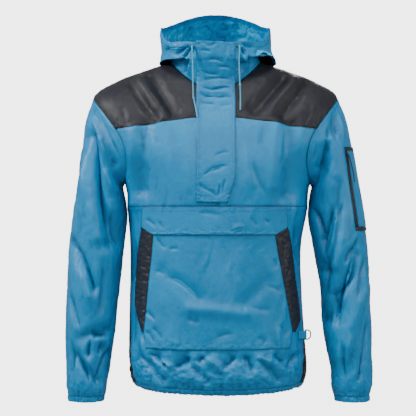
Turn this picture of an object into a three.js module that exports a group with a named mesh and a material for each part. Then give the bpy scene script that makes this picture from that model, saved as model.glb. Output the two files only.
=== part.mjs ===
// Hooded anorak pullover in light nylon, filled out as when it is worn.
// Millimetres, +Z up, front towards -Y, the wearer's left towards +X. The origin is in the middle of the
// neck opening, level with the inner ends of the shoulders, where the wearer holds the garment up.
import * as THREE from "three";
import { mergeVertices } from "three/addons/utils/BufferGeometryUtils.js";

// Driving dimensions

const WALL = 1.2; // nylon cloth with its seam allowances
const SEAM_INSET = 0.16; // each piece stops this far short of a seam line
const ARMHOLE_INSET = 0.8;
const LAYER_GAP = 0.35; // between a piece and what it lies on
const DEGREE = Math.PI / 180;
const QUARTER = Math.PI / 2;

const BODY_RINGS = [
  // Height at the side, front and back, middle and half width, depth to the front and back, and squareness
  { ring: "hem", side: -682, front: -690, back: -681, x: 7, wide: 174, fore: 117, aft: 110, square: 2.2 },
  { ring: "hem_top", side: -669, front: -677, back: -668, x: 6, wide: 184, fore: 123, aft: 116, square: 2.2 },
  { ring: "blouse", side: -640, front: -648, back: -640, x: 5, wide: 189, fore: 131, aft: 123, square: 2.2 },
  { ring: "hip", side: -582, front: -590, back: -582, x: 3, wide: 188.5, fore: 128, aft: 121, square: 2.2 },
  { ring: "seat", side: -495, front: -500, back: -495, x: 1, wide: 185, fore: 125, aft: 114, square: 2.2 },
  { ring: "waist", side: -390, front: -397, back: -392, x: 0, wide: 183, fore: 123, aft: 104, square: 2.25 },
  { ring: "ribs", side: -306, front: -305, back: -300, x: 4, wide: 190.5, fore: 128, aft: 115, square: 2.3 },
  { ring: "armpit", side: -248, front: -242, back: -226, x: 4, wide: 199, fore: 131, aft: 124, square: 2.4 },
  { ring: "armhole", side: -140, front: -194, back: -162, x: 1, wide: 242, fore: 128, aft: 126, square: 2.5 },
  {
    ring: "shoulder_tip",
    side: -67,
    front: -147,
    back: -102,
    x: 0,
    wide: 262,
    fore: 118,
    aft: 120,
    square: 2.4,
  },
  { ring: "shoulder", side: -31, front: -116, back: -60, x: 0, wide: 214, fore: 107, aft: 108, square: 2.3 },
  { ring: "shoulder_in", side: -9, front: -84, back: -22, x: 0, wide: 158, fore: 94, aft: 92, square: 2.1 },
  { ring: "neck", side: 11, front: -52, back: 12, x: 0, wide: 96, fore: 80, aft: 74, square: 2 },
];

const HOOD_RINGS = [
  // Heights at the front, both front corners, the sides and the back, the direction of the corners,
  // then the plan as in the body's rings
  {
    ring: "neck_low",
    front: -32, right: 8, left: 12, side: 27, back: 32, corner: 62, x: 0, wide: 91, fore: 86, aft: 79,
  },
  {
    ring: "neck_top",
    front: -14, right: 27, left: 38, side: 41, back: 57, corner: 62, x: 1, wide: 95, fore: 91, aft: 94,
  },
  {
    ring: "slope",
    front: 1, right: 23, left: 33, side: 28, back: 4, corner: 62, x: 3, wide: 111, fore: 95, aft: 122,
  },
  {
    ring: "cowl_edge",
    front: 12, right: 12, left: 21, side: 8, back: -64, corner: 60, x: 5, wide: 125, fore: 98, aft: 142,
  },
  {
    ring: "outer",
    front: 24, right: 27, left: 31, side: 38, back: 26, corner: 56, x: 2, wide: 118, fore: 100, aft: 158,
  },
  {
    ring: "casing",
    front: 34, right: 38, left: 39, side: 72, back: 96, corner: 52, x: 0, wide: 119, fore: 101, aft: 124,
  },
  {
    ring: "edge",
    front: 45, right: 48, left: 49, side: 89, back: 127, corner: 50, x: 0, wide: 117, fore: 101.5, aft: 92,
  },
];
const HOOD_SIDE = 98 * DEGREE;
const HOOD_SQUARE = 2.2;

const SLEEVE_RINGS = [
  // Heights and reaches of the inner and the outer outline, half depth, and shift towards the back
  { ring: "cap_high", zIn: -257, zOut: -112, inL: 208, outL: 280, inR: 201, outR: 277, deep: 80, y: 0 },
  { ring: "cap_low", zIn: -271, zOut: -168, inL: 206, outL: 292, inR: 198, outR: 286, deep: 78, y: -2 },
  { ring: "upper", zIn: -297, zOut: -235, inL: 203, outL: 303, inR: 194, outR: 293, deep: 73, y: -6 },
  { ring: "biceps", zIn: -330, zOut: -305, inL: 199, outL: 315, inR: 189, outR: 304, deep: 69, y: -10 },
  { ring: "above_elbow", zIn: -388, zOut: -383, inL: 209, outL: 325, inR: 196, outR: 314, deep: 65, y: -13 },
  { ring: "elbow", zIn: -470, zOut: -470, inL: 224, outL: 330, inR: 205, outR: 317, deep: 61, y: -16 },
  { ring: "forearm", zIn: -560, zOut: -560, inL: 229, outL: 333, inR: 214, outR: 320, deep: 55, y: -20 },
  { ring: "low", zIn: -640, zOut: -640, inL: 245, outL: 334, inR: 226, outR: 318, deep: 49, y: -24 },
  { ring: "wrist", zIn: -678, zOut: -678, inL: 247, outL: 333, inR: 231, outR: 318, deep: 45, y: -26 },
  { ring: "cuff_top", zIn: -698, zOut: -698, inL: 253, outL: 329, inR: 236, outR: 314, deep: 39, y: -27 },
  { ring: "cuff", zIn: -711, zOut: -711, inL: 255, outL: 328, inR: 239, outR: 312, deep: 38, y: -27 },
];

const BODY = Object.fromEntries(BODY_RINGS.map((row, k) => [row.ring, k]));
const SLEEVE = Object.fromEntries(SLEEVE_RINGS.map((row, k) => [row.ring, k + 1]));
const HOOD = Object.fromEntries(HOOD_RINGS.map((row, k) => [row.ring, k + 1]));

const ARMHOLE = { middle: BODY.armhole, frontCut: 40 * DEGREE, backCut: 36 * DEGREE };
// Height of each yoke's lower seam in the middle, and its fall towards the armhole
const YOKE_FRONT = { centre: -111, drop: 34, reach: 215 };
const YOKE_BACK = { centre: -118, drop: 8, reach: 215 };
const ARM_CELLS = { yoke: 3, chest: 5, side: 2, back: 5, backYoke: 3 }; // of each panel along the armhole
const CHEST_CELLS = { across: 8, seam: 3 };
const YOKE_CELLS = { across: 8, shoulder: 4 };
const BACK_CELLS = { across: 18, seam: 12 };
const BACK_YOKE_CELLS = { across: 16, shoulder: 3 };
const SLEEVE_ROWS = 17;
const YOKE_END = { front: 70 * DEGREE, back: 66 * DEGREE }; // where those seams meet the armhole
const SIDE_PANEL = { top: 4 * DEGREE, hem: 22 * DEGREE, flareFrom: BODY.waist };
const WAIST_SEAM = -298;
// Where the back panel's two seams start at the neck and end at the casing
const HOOD_GREY = {
  from: 97 * DEGREE,
  to: 263 * DEGREE,
  topFrom: 97 * DEGREE,
  topTo: 263 * DEGREE,
};
const HOOD_CELLS = { side: 9, back: 12 };
const HOOD_CASING = 13; // width of the band round the hood's opening

// The largest folds, as seen from the front or the back: the ends of each, its half width and its rise
const FRONT_FOLDS = [
  { name: "yoke_right_outer", x0: -183, z0: -35, x1: -128, z1: -112, wide: 11, rise: -4.5 },
  { name: "yoke_right_inner", x0: -138, z0: -18, x1: -88, z1: -100, wide: 13, rise: -5 },
  { name: "yoke_right_crest", x0: -160, z0: -28, x1: -108, z1: -108, wide: 12, rise: 3.5 },
  { name: "yoke_left_outer", x0: 192, z0: -32, x1: 140, z1: -108, wide: 11, rise: -4.5 },
  { name: "yoke_left_inner", x0: 140, z0: -30, x1: 82, z1: -96, wide: 13, rise: -5 },
  { name: "yoke_left_crest", x0: 166, z0: -30, x1: 112, z1: -104, wide: 12, rise: 3.5 },
  { name: "chest_right_fold", x0: -146, z0: -128, x1: -152, z1: -262, wide: 14, rise: -4.5 },
  { name: "chest_right_crest", x0: -172, z0: -140, x1: -176, z1: -290, wide: 13, rise: 4 },
  { name: "chest_left_fold", x0: 158, z0: -128, x1: 152, z1: -270, wide: 16, rise: -5.5 },
  { name: "chest_left_crest", x0: 126, z0: -126, x1: 118, z1: -256, wide: 15, rise: 3 },
  { name: "blouse_right", x0: -150, z0: -616, x1: -112, z1: -660, wide: 9, rise: -5 },
  { name: "blouse_middle", x0: -60, z0: -618, x1: -18, z1: -656, wide: 9, rise: -4.5 },
  { name: "blouse_left", x0: 96, z0: -616, x1: 132, z1: -658, wide: 9, rise: -4.5 },
];
const POCKET_FOLDS = [
  { name: "drag_right", x0: -112, z0: -428, x1: -38, z1: -488, wide: 15, rise: -3.5 },
  { name: "crest_low", x0: -52, z0: -508, x1: 66, z1: -520, wide: 13, rise: 4 },
  { name: "drag_left", x0: 108, z0: -450, x1: 60, z1: -496, wide: 15, rise: -3.5 },
];
const BACK_FOLDS = [
  { name: "back_yoke_left", x0: 150, z0: -30, x1: 96, z1: -112, wide: 14, rise: -4 },
  { name: "back_yoke_right", x0: -156, z0: -34, x1: -104, z1: -116, wide: 14, rise: -4.5 },
  { name: "back_left_drop", x0: 134, z0: -150, x1: 116, z1: -300, wide: 18, rise: -5 },
  { name: "back_right_drop", x0: -126, z0: -150, x1: -112, z1: -312, wide: 18, rise: -5.5 },
  { name: "back_middle_crest", x0: 22, z0: -170, x1: 10, z1: -340, wide: 20, rise: 3.5 },
  { name: "back_waist_left", x0: 146, z0: -372, x1: 34, z1: -424, wide: 16, rise: -5 },
  { name: "back_waist_right", x0: -148, z0: -356, x1: -44, z1: -420, wide: 16, rise: -4.5 },
  { name: "back_seat_crest", x0: -70, z0: -500, x1: 62, z1: -540, wide: 18, rise: 4 },
  { name: "back_blouse_left", x0: 96, z0: -584, x1: 126, z1: -646, wide: 12, rise: -5 },
  { name: "back_blouse_right", x0: -82, z0: -588, x1: -118, z1: -646, wide: 12, rise: -5 },
];
const SLEEVE_FRONT_FOLDS = {
  left: [
    { name: "cap_drag", x0: 252, z0: -96, x1: 216, z1: -214, wide: 11, rise: -5 },
    { name: "upper_drag", x0: 268, z0: -250, x1: 232, z1: -430, wide: 13, rise: -7 },
    { name: "upper_crest", x0: 288, z0: -270, x1: 250, z1: -420, wide: 14, rise: 5 },
    { name: "elbow_drag", x0: 300, z0: -400, x1: 236, z1: -535, wide: 13, rise: -6 },
    { name: "forearm_crest", x0: 312, z0: -470, x1: 262, z1: -610, wide: 14, rise: 4 },
  ],
  right: [
    { name: "cap_drag", x0: -254, z0: -98, x1: -212, z1: -208, wide: 11, rise: -5 },
    { name: "upper_drag", x0: -266, z0: -150, x1: -222, z1: -372, wide: 14, rise: -8 },
    { name: "upper_crest", x0: -282, z0: -200, x1: -246, z1: -360, wide: 15, rise: 5 },
    { name: "elbow_drag", x0: -306, z0: -370, x1: -258, z1: -468, wide: 12, rise: -6 },
    { name: "forearm_drag", x0: -232, z0: -556, x1: -282, z1: -572, wide: 12, rise: -5 },
    { name: "wrist_drag", x0: -292, z0: -612, x1: -248, z1: -664, wide: 10, rise: -5 },
  ],
};
const SLEEVE_BACK_FOLDS = {
  left: [
    { name: "cap_drag", x0: 254, z0: -110, x1: 214, z1: -226, wide: 13, rise: -6 },
    { name: "elbow_pinch", x0: 310, z0: -430, x1: 236, z1: -478, wide: 12, rise: -6 },
    { name: "forearm_drag", x0: 250, z0: -520, x1: 306, z1: -610, wide: 13, rise: -5 },
  ],
  right: [
    { name: "cap_drag", x0: -252, z0: -112, x1: -212, z1: -230, wide: 13, rise: -6 },
    { name: "elbow_pinch", x0: -300, z0: -426, x1: -222, z1: -470, wide: 12, rise: -6 },
    { name: "forearm_drag", x0: -238, z0: -524, x1: -300, z1: -604, wide: 13, rise: -5 },
  ],
};

const PLACKET = {
  half: 41,
  topRight: 48,
  topLeft: 44,
  bottom: -290,
  cutFrom: -238,
  cutWidth: 17,
  lift: 2.6,
  neckLift: 6,
  neckReach: 20,
};
const POCKET = { top: -299, bottom: -594, lift: 2.4, belly: 5 };
const POCKET_EDGES = [
  // Height, then the trim's inner and outer edge on the wearer's right and left
  { z: -356, inR: -129, outR: -154, inL: 122, outL: 150 },
  { z: -398, inR: -132, outR: -158, inL: 129, outL: 158 },
  { z: -450, inR: -138, outR: -163, inL: 139, outL: 165 },
  { z: -501, inR: -143, outR: -168, inL: 149, outL: 173 },
  { z: -535, inR: -147, outR: -161, inL: 155, outL: 177 },
  { z: -561, inR: -150, outR: -153, inL: 161, outL: 168 },
];
const POCKET_FOOT = { right: -147, left: 155 };
const TRIM_RISE = 17; // the trim's outer corner stands this much above its inner corner
const FLAP = { top: -299, bottom: -356, topHalfR: 153, topHalfL: 148, lift: 5.6, corner: 16 };

const SLEEVE_POCKET = { top: -172, bottom: -349, front: 56 * DEGREE, back: -52 * DEGREE, tape: 8, lift: 2.4 };
const SLIDER = { long: 9, wide: 6, high: 2.6, at: -190 };
const PULL_CORD = { radius: 1.1, long: 58 };

const RING = { wire: 1.25, bar: 20, reach: 15 };
const RING_TAB = { wide: 17, long: 20, skin: 0.9, x: 173, z: -569, splay: 17 * DEGREE };

const EYELET = { x: 48, z: 36, outer: 4.4, inner: 2.3, high: 1.2 };
const CORD_RADIUS = 1.5;
const CORDS = {
  // Each route hangs from the eyelet to the knot, and goes from the knot to the cord's free end
  right: {
    hang: [[-49.4, -102.2, 29], [-49, -102.4, 21], [-48, -102, -8], [-47, -101, -60], [-46.6, -101.2, -69]],
    tail: [[-45.4, -101.6, -75.5], [-42.4, -103.6, -90], [-38.4, -110.2, -112]],
  },
  left: {
    hang: [[49.4, -102.2, 29], [49, -102.4, 21], [48.6, -101.6, 0], [50, -99.4, -36], [50.4, -99, -41]],
    tail: [[50.6, -98.6, -48], [51.4, -97.6, -70], [51, -99.8, -97]],
  },
};
const KNOT = { radius: 3.1, long: 5.6 };

// Materials

const cloth = (color, roughness) => new THREE.MeshStandardMaterial({ color, roughness, metalness: 0 });
const BLUE = cloth(0x2f86b5, 0.48);
const GREY = cloth(0x3b3d43, 0.5);
const CORD_BLUE = cloth(0x5cb3d6, 0.7);
const BLACK = cloth(0x17191c, 0.6);
const DARK_METAL = new THREE.MeshStandardMaterial({ color: 0x4a463e, roughness: 0.4, metalness: 0.9 });

const garment = new THREE.Group();

function add(name, geometry, material) {
  const mesh = new THREE.Mesh(geometry, material);
  mesh.name = name;
  garment.add(mesh);
  return mesh;
}

// Curves through a row of values

function cubic(a, b, c, d, t) {
  return b + 0.5 * t * (c - a + t * (2 * a - 5 * b + 4 * c - d + t * (3 * (b - c) + d - a)));
}

// Value at a place between the numbered items, with the ends carried on straight.
function through(item, last, place) {
  const k = Math.min(Math.max(Math.floor(place), 0), last - 1);
  const t = place - k;
  const b = item(k);
  const c = item(k + 1);
  const a = k > 0 ? item(k - 1) : b.clone().multiplyScalar(2).sub(c);
  const d = k + 2 <= last ? item(k + 2) : c.clone().multiplyScalar(2).sub(b);
  return new THREE.Vector3(
    cubic(a.x, b.x, c.x, d.x, t),
    cubic(a.y, b.y, c.y, d.y, t),
    cubic(a.z, b.z, c.z, d.z, t),
  );
}

function smooth(from, to, value) {
  const t = Math.min(Math.max((value - from) / (to - from), 0), 1);
  return t * t * (3 - 2 * t);
}

const mix = (a, b, t) => a + (b - a) * t;

// Value of a column of a table at a height that falls from row to row.
function columnAt(table, key, z) {
  let k = 0;
  while (k < table.length - 2 && table[k + 1].z > z) k += 1;
  const t = (z - table[k].z) / (table[k + 1].z - table[k].z);
  return mix(table[k][key], table[k + 1][key], Math.min(Math.max(t, 0), 1));
}

// Surfaces: each takes a turn round the garment or sleeve and a level along its rings

const raised = (base, square) => Math.sign(base) * Math.abs(base) ** (2 / square);

function planPoint(row, turn, square, z) {
  const ahead = Math.cos(turn);
  const deep = ahead > 0 ? row.fore : row.aft;
  const x = row.x + row.wide * raised(Math.sin(turn), square);
  return new THREE.Vector3(x, -deep * raised(ahead, square), z);
}

function bodyRing(row, turn) {
  const ahead = Math.cos(turn);
  const z = row.side + ((ahead > 0 ? row.front : row.back) - row.side) * ahead * ahead;
  return planPoint(row, turn, row.square, z);
}

function foldRise(folds, x, z) {
  let rise = 0;
  for (const fold of folds) {
    const dx = fold.x1 - fold.x0;
    const dz = fold.z1 - fold.z0;
    const t = ((x - fold.x0) * dx + (z - fold.z0) * dz) / (dx * dx + dz * dz);
    const near = Math.min(Math.max(t, 0), 1);
    const away = Math.hypot(x - fold.x0 - near * dx, z - fold.z0 - near * dz) / fold.wide;
    rise += fold.rise * Math.exp(-away * away);
  }
  return rise;
}

// The unit normal of a surface, by small steps along it.
function normalOf(surface, turn, place, sign) {
  const step = 1e-3;
  const along = surface(turn + step, place).sub(surface(turn - step, place));
  const up = surface(turn, place + step).sub(surface(turn, place - step));
  return along.cross(up).multiplyScalar(sign).normalize();
}

const bodyBase = (turn, place) => through((k) => bodyRing(BODY_RINGS[k], turn), BODY_RINGS.length - 1, place);

function onBody(turn, place) {
  const point = bodyBase(turn, place);
  const normal = normalOf(bodyBase, turn, place, 1);
  const ahead = Math.cos(turn);
  const rise = foldRise(ahead > 0 ? FRONT_FOLDS : BACK_FOLDS, point.x, point.z);
  return { point: point.addScaledVector(normal, rise * smooth(0.08, 0.4, Math.abs(ahead))), normal };
}

// The armhole's edge: 0 at the shoulder tip, a quarter turn at the front, a half turn in the armpit.
function armholeEdge(around, side) {
  const cut = Math.sin(around) > 0 ? ARMHOLE.frontCut : ARMHOLE.backCut;
  return [side * (QUARTER - cut * Math.sin(around)), ARMHOLE.middle + Math.cos(around)];
}

function sleeveRing(k, around, side) {
  if (k === 0) return bodyBase(...armholeEdge(around, side));
  const row = SLEEVE_RINGS[k - 1];
  const [inner, outer] = side > 0 ? [row.inL, row.outL] : [row.inR, row.outR];
  const across = 0.5 * (1 + Math.cos(around));
  const y = row.y - row.deep * Math.sin(around);
  return new THREE.Vector3(side * mix(inner, outer, across), y, mix(row.zIn, row.zOut, across));
}

const sleeveBase = (side) => (around, place) =>
  through((k) => sleeveRing(k, around, side), SLEEVE_RINGS.length, place);

// Folds die away under the sleeve pocket, which keeps that part of the sleeve smooth.
function sleevePocketCalm(around, z) {
  const { top, bottom, front, back } = SLEEVE_POCKET;
  const turn = Math.atan2(Math.sin(around), Math.cos(around));
  const beside = smooth(0, 0.5, Math.max(turn - front, back - turn) - 0.15);
  const beyond = smooth(0, 30, Math.max(z - top, bottom - z) - 6);
  return Math.max(beside, beyond);
}

function onSleeve(side) {
  const base = sleeveBase(side);
  const key = side > 0 ? "left" : "right";
  return (around, place) => {
    const point = base(around, place);
    const normal = normalOf(base, around, place, side);
    const ahead = Math.sin(around);
    const folds = (ahead > 0 ? SLEEVE_FRONT_FOLDS : SLEEVE_BACK_FOLDS)[key];
    const calm = side > 0 ? sleevePocketCalm(around, point.z) : 1;
    const share = smooth(0.05, 0.4, Math.abs(ahead)) * smooth(0, 0.8, place) * calm;
    const rise = foldRise(folds, point.x, point.z) * share;
    return { point: point.addScaledVector(normal, rise), normal };
  };
}

function hoodRing(k, turn) {
  if (k === 0) return bodyRing(BODY_RINGS[BODY.neck], turn);
  const row = HOOD_RINGS[k - 1];
  const wrapped = Math.atan2(Math.sin(turn), Math.cos(turn));
  const away = Math.abs(wrapped);
  const corner = mix(row.right, row.left, smooth(-0.4, 0.4, Math.sin(turn)));
  const bend = row.corner * DEGREE;
  const z =
    away < bend
      ? mix(row.front, corner, smooth(0.25 * bend, bend, away))
      : away < HOOD_SIDE
        ? mix(corner, row.side, smooth(bend, HOOD_SIDE, away))
        : mix(row.side, row.back, smooth(HOOD_SIDE, Math.PI, away));
  return planPoint(row, turn, HOOD_SQUARE, z);
}

const hoodBase = (turn, place) => through((k) => hoodRing(k, turn), HOOD_RINGS.length, place);
const onHood = (turn, place) => ({
  point: hoodBase(turn, place),
  normal: normalOf(hoodBase, turn, place, 1),
});

// Solves value(t) = wanted for a value that rises from t0 to t1.
function solve(value, wanted, t0, t1) {
  let [low, high] = [t0, t1];
  for (let n = 0; n < 26; n += 1) {
    const middle = 0.5 * (low + high);
    if (value(middle) < wanted) low = middle;
    else high = middle;
  }
  return 0.5 * (low + high);
}

// The turn and level of the body's front at a place seen from the front.
function frontPlace(x, z) {
  let place = BODY.waist;
  let turn = 0;
  for (let n = 0; n < 6; n += 1) {
    turn = solve((t) => bodyBase(t, place).x, x, -QUARTER, QUARTER);
    place = solve((p) => bodyBase(turn, p).z, z, 0, BODY.neck);
  }
  return [turn, place];
}

const onFront = (x, z) => onBody(...frontPlace(x, z));

// Panels: a grid of points on a surface, thickened into a wall

// A wall whose outer face is the grid moved out by lift, closed all round or along u.
function wallGeometry(grid, { lift = 0, wall = WALL, closedU = false, inset = {} }) {
  const columns = grid.length;
  const rows = grid[0].length;
  const faces = grid.map((column) => column.map(({ point }) => point.clone()));
  const pull = (edge, from, to) => {
    const gap = inset[edge] ?? SEAM_INSET;
    from.addScaledVector(to.clone().sub(from).normalize(), gap);
  };
  for (let i = 0; i < columns; i += 1) {
    pull("bottom", faces[i][0], faces[i][1]);
    pull("top", faces[i][rows - 1], faces[i][rows - 2]);
  }
  for (let j = 0; j < rows && !closedU; j += 1) {
    pull("start", faces[0][j], faces[1][j]);
    pull("end", faces[columns - 1][j], faces[columns - 2][j]);
  }
  const positions = [];
  for (const depth of [lift, lift - wall]) {
    for (let i = 0; i < columns; i += 1) {
      for (let j = 0; j < rows; j += 1) {
        const { normal, extra = 0 } = grid[i][j];
        positions.push(...faces[i][j].clone().addScaledVector(normal, depth + extra).toArray());
      }
    }
  }
  const index = [];
  const at = (layer, i, j) => (layer * columns + (i % columns)) * rows + j;
  const quad = (a, b, c, d) => index.push(a, b, c, a, c, d);
  const spans = closedU ? columns : columns - 1;
  for (let i = 0; i < spans; i += 1) {
    for (let j = 0; j < rows - 1; j += 1) {
      quad(at(0, i, j), at(0, i + 1, j), at(0, i + 1, j + 1), at(0, i, j + 1));
      quad(at(1, i, j), at(1, i, j + 1), at(1, i + 1, j + 1), at(1, i + 1, j));
    }
    quad(at(1, i, 0), at(1, i + 1, 0), at(0, i + 1, 0), at(0, i, 0));
    quad(at(0, i, rows - 1), at(0, i + 1, rows - 1), at(1, i + 1, rows - 1), at(1, i, rows - 1));
  }
  for (let j = 0; j < rows - 1 && !closedU; j += 1) {
    quad(at(0, 0, j), at(0, 0, j + 1), at(1, 0, j + 1), at(1, 0, j));
    quad(at(1, columns - 1, j), at(1, columns - 1, j + 1), at(0, columns - 1, j + 1), at(0, columns - 1, j));
  }
  return facingOut(positions, index);
}

// Turns the faces round where they enclose a negative volume.
function facingOut(positions, index) {
  const corner = (k) => new THREE.Vector3().fromArray(positions, 3 * index[k]);
  let volume = 0;
  for (let k = 0; k < index.length; k += 3) volume += corner(k).dot(corner(k + 1).cross(corner(k + 2)));
  for (let k = 0; k < index.length && volume < 0; k += 3) {
    [index[k], index[k + 1]] = [index[k + 1], index[k]];
  }
  const geometry = new THREE.BufferGeometry();
  geometry.setAttribute("position", new THREE.Float32BufferAttribute(positions, 3));
  geometry.setIndex(index);
  geometry.computeVertexNormals();
  return geometry;
}

function gridOf(surface, columns, rows, place) {
  return Array.from({ length: columns + 1 }, (_, i) =>
    Array.from({ length: rows + 1 }, (_, j) => surface(...place(i / columns, j / rows))),
  );
}

// A place inside four edges that meet at their ends, each given from 0 to 1.
function within({ bottom, top, start, end }) {
  return (s, t) => {
    const [b, p, l, r] = [bottom(s), top(s), start(t), end(t)];
    const [b0, b1, t0, t1] = [bottom(0), bottom(1), top(0), top(1)];
    return [0, 1].map(
      (k) =>
        (1 - t) * b[k] + t * p[k] + (1 - s) * l[k] + s * r[k] -
        ((1 - s) * (1 - t) * b0[k] + s * (1 - t) * b1[k] + (1 - s) * t * t0[k] + s * t * t1[k]),
    );
  };
}

const line = (from, to) => (t) => [mix(from[0], to[0], t), mix(from[1], to[1], t)];

// Two edges in a row, the first taking the given share.
const chain = (first, second, share) => (t) =>
  t < share ? first(t / share) : second((t - share) / (1 - share));

// Seams on the body

function sidePanelHalf(place) {
  const flare = 1 - smooth(BODY.hem, SIDE_PANEL.flareFrom + 1, place);
  return mix(SIDE_PANEL.top, SIDE_PANEL.hem, flare);
}

// Where the armhole's edge meets the side panel.
const armpitAngle = Math.PI - Math.asin(SIDE_PANEL.top / ARMHOLE.frontCut);
const armpitAngleBack = Math.PI + Math.asin(SIDE_PANEL.top / ARMHOLE.backCut);
const armpitLevel = ARMHOLE.middle + Math.cos(armpitAngle);
const armpitLevelBack = ARMHOLE.middle + Math.cos(armpitAngleBack);

const frontSeam = (side) => (place) => [side * (QUARTER - sidePanelHalf(place)), place];
const backSeam = (side) => (place) => [side * (QUARTER + sidePanelHalf(place)), place];

// The level at which the body's surface, at this turn, meets a seam's height.
function seamLevel(turn, height) {
  return solve((p) => bodyBase(turn, p).z - height(bodyBase(turn, p).x), 0, BODY.hem, BODY.neck);
}

const waistSeam = (turn) => [turn, seamLevel(turn, () => WAIST_SEAM)];

function yokeSeam(seam, from, to) {
  const height = (x) => seam.centre - seam.drop * (Math.abs(x) / seam.reach) ** 1.6;
  return (s) => {
    const turn = mix(from[0], to[0], s);
    const place = seamLevel(turn, height);
    const miss0 = from[1] - seamLevel(from[0], height);
    const miss1 = to[1] - seamLevel(to[0], height);
    return [turn, place + mix(miss0, miss1, s)];
  };
}

function bodyPanel(name, material, edges, across, up, options = {}) {
  const surface = options.surface ?? onBody;
  add(name, wallGeometry(gridOf(surface, across, up, within(edges)), options), material);
}

const SIDES = [
  { name: "left", side: 1 },
  { name: "right", side: -1 },
];
const ARM_INSET = { end: ARMHOLE_INSET };

function buildFront() {
  const waistTurn = QUARTER - sidePanelHalf(BODY.ribs);
  const waistEnd = waistSeam(waistTurn)[1];
  bodyPanel(
    "front_lower",
    BLUE,
    {
      bottom: (s) => [mix(-1, 1, s) * frontSeam(1)(BODY.hem_top)[0], BODY.hem_top],
      top: (s) => waistSeam(mix(-waistTurn, waistTurn, s)),
      start: (t) => frontSeam(-1)(mix(BODY.hem_top, waistEnd, t)),
      end: (t) => frontSeam(1)(mix(BODY.hem_top, waistEnd, t)),
    },
    18,
    13,
  );
  for (const { name, side } of SIDES) {
    const yokeEnd = armholeEdge(YOKE_END.front, side);
    const centreLevel = seamLevel(0, () => YOKE_FRONT.centre);
    const yokeLine = yokeSeam(YOKE_FRONT, [0, centreLevel], yokeEnd);
    const underArm = chain(
      (t) => frontSeam(side)(mix(waistEnd, armpitLevel, t)),
      (t) => armholeEdge(mix(armpitAngle, YOKE_END.front, t), side),
      CHEST_CELLS.seam / (CHEST_CELLS.seam + ARM_CELLS.chest),
    );
    bodyPanel(
      `front_chest_${name}`,
      BLUE,
      {
        bottom: (s) => waistSeam(side * waistTurn * s),
        top: yokeLine,
        start: line(waistSeam(0), [0, centreLevel]),
        end: underArm,
      },
      CHEST_CELLS.across,
      CHEST_CELLS.seam + ARM_CELLS.chest,
      { inset: ARM_INSET },
    );
    bodyPanel(
      `front_yoke_${name}`,
      GREY,
      {
        bottom: yokeLine,
        top: line([0, BODY.neck], [side * QUARTER, BODY.neck]),
        start: line([0, centreLevel], [0, BODY.neck]),
        end: chain(
          (t) => armholeEdge(mix(YOKE_END.front, 0, t), side),
          line([side * QUARTER, BODY.shoulder_tip], [side * QUARTER, BODY.neck]),
          ARM_CELLS.yoke / (ARM_CELLS.yoke + YOKE_CELLS.shoulder),
        ),
      },
      YOKE_CELLS.across,
      ARM_CELLS.yoke + YOKE_CELLS.shoulder,
      { inset: ARM_INSET },
    );
  }
}

function buildBack() {
  // The back is laid out from the wearer's left to the right, with turns from a quarter to three quarters.
  const mirrored = ([turn, place]) => [2 * Math.PI - turn, place];
  const centreLevel = seamLevel(Math.PI, () => YOKE_BACK.centre);
  const yokeEnd = armholeEdge(-YOKE_END.back, 1);
  const half = yokeSeam(YOKE_BACK, yokeEnd, [Math.PI, centreLevel]);
  const yokeLine = (s) => (s < 0.5 ? half(2 * s) : mirrored(half(2 - 2 * s)));
  const leftEdge = chain(
    (t) => backSeam(1)(mix(BODY.hem_top, armpitLevelBack, t)),
    (t) => armholeEdge(mix(armpitAngleBack - 2 * Math.PI, -YOKE_END.back, t), 1),
    BACK_CELLS.seam / (BACK_CELLS.seam + ARM_CELLS.back),
  );
  const hemTurn = backSeam(1)(BODY.hem_top)[0];
  const inset = { start: ARMHOLE_INSET, end: ARMHOLE_INSET };
  bodyPanel(
    "back_body",
    BLUE,
    {
      bottom: line([hemTurn, BODY.hem_top], mirrored([hemTurn, BODY.hem_top])),
      top: yokeLine,
      start: leftEdge,
      end: (t) => mirrored(leftEdge(t)),
    },
    BACK_CELLS.across,
    BACK_CELLS.seam + ARM_CELLS.back,
    { inset },
  );
  const shoulder = chain(
    (t) => armholeEdge(mix(-YOKE_END.back, 0, t), 1),
    line([QUARTER, BODY.shoulder_tip], [QUARTER, BODY.neck]),
    ARM_CELLS.backYoke / (ARM_CELLS.backYoke + BACK_YOKE_CELLS.shoulder),
  );
  bodyPanel(
    "back_yoke",
    GREY,
    {
      bottom: yokeLine,
      top: line([QUARTER, BODY.neck], [3 * QUARTER, BODY.neck]),
      start: shoulder,
      end: (t) => mirrored(shoulder(t)),
    },
    BACK_YOKE_CELLS.across,
    ARM_CELLS.backYoke + BACK_YOKE_CELLS.shoulder,
    { inset },
  );
}

function buildSides() {
  for (const { name, side } of SIDES) {
    const top = (s) => {
      const around = mix(armpitAngle, armpitAngleBack, s);
      return armholeEdge(around, side);
    };
    bodyPanel(
      `side_panel_${name}`,
      GREY,
      {
        bottom: line(frontSeam(side)(BODY.hem_top), backSeam(side)(BODY.hem_top)),
        top,
        start: (t) => frontSeam(side)(mix(BODY.hem_top, armpitLevel, t)),
        end: (t) => backSeam(side)(mix(BODY.hem_top, armpitLevelBack, t)),
      },
      ARM_CELLS.side,
      14,
      { inset: { top: ARMHOLE_INSET } },
    );
  }
}

// A gathered band: its outer face is puckered in even waves that grow towards its free edge.
function gatheredBand(name, surface, fromLevel, toLevel, waves, depth, spread) {
  const around = waves * 3;
  const grid = Array.from({ length: around }, (_, i) =>
    Array.from({ length: 2 }, (_, t) => {
      const place = surface((2 * Math.PI * i) / around, mix(fromLevel, toLevel, t));
      const pucker = Math.cos((2 * Math.PI * i * waves) / around) * depth;
      return { ...place, extra: pucker * (spread ? 0.35 + 0.65 * t : 1 - t) };
    }),
  );
  add(name, wallGeometry(grid, { closedU: true, inset: { bottom: 0.6, top: 0.6 } }), BLUE);
}

const HEM_WAVES = 28;
const CUFF_WAVES = 15;

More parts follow.
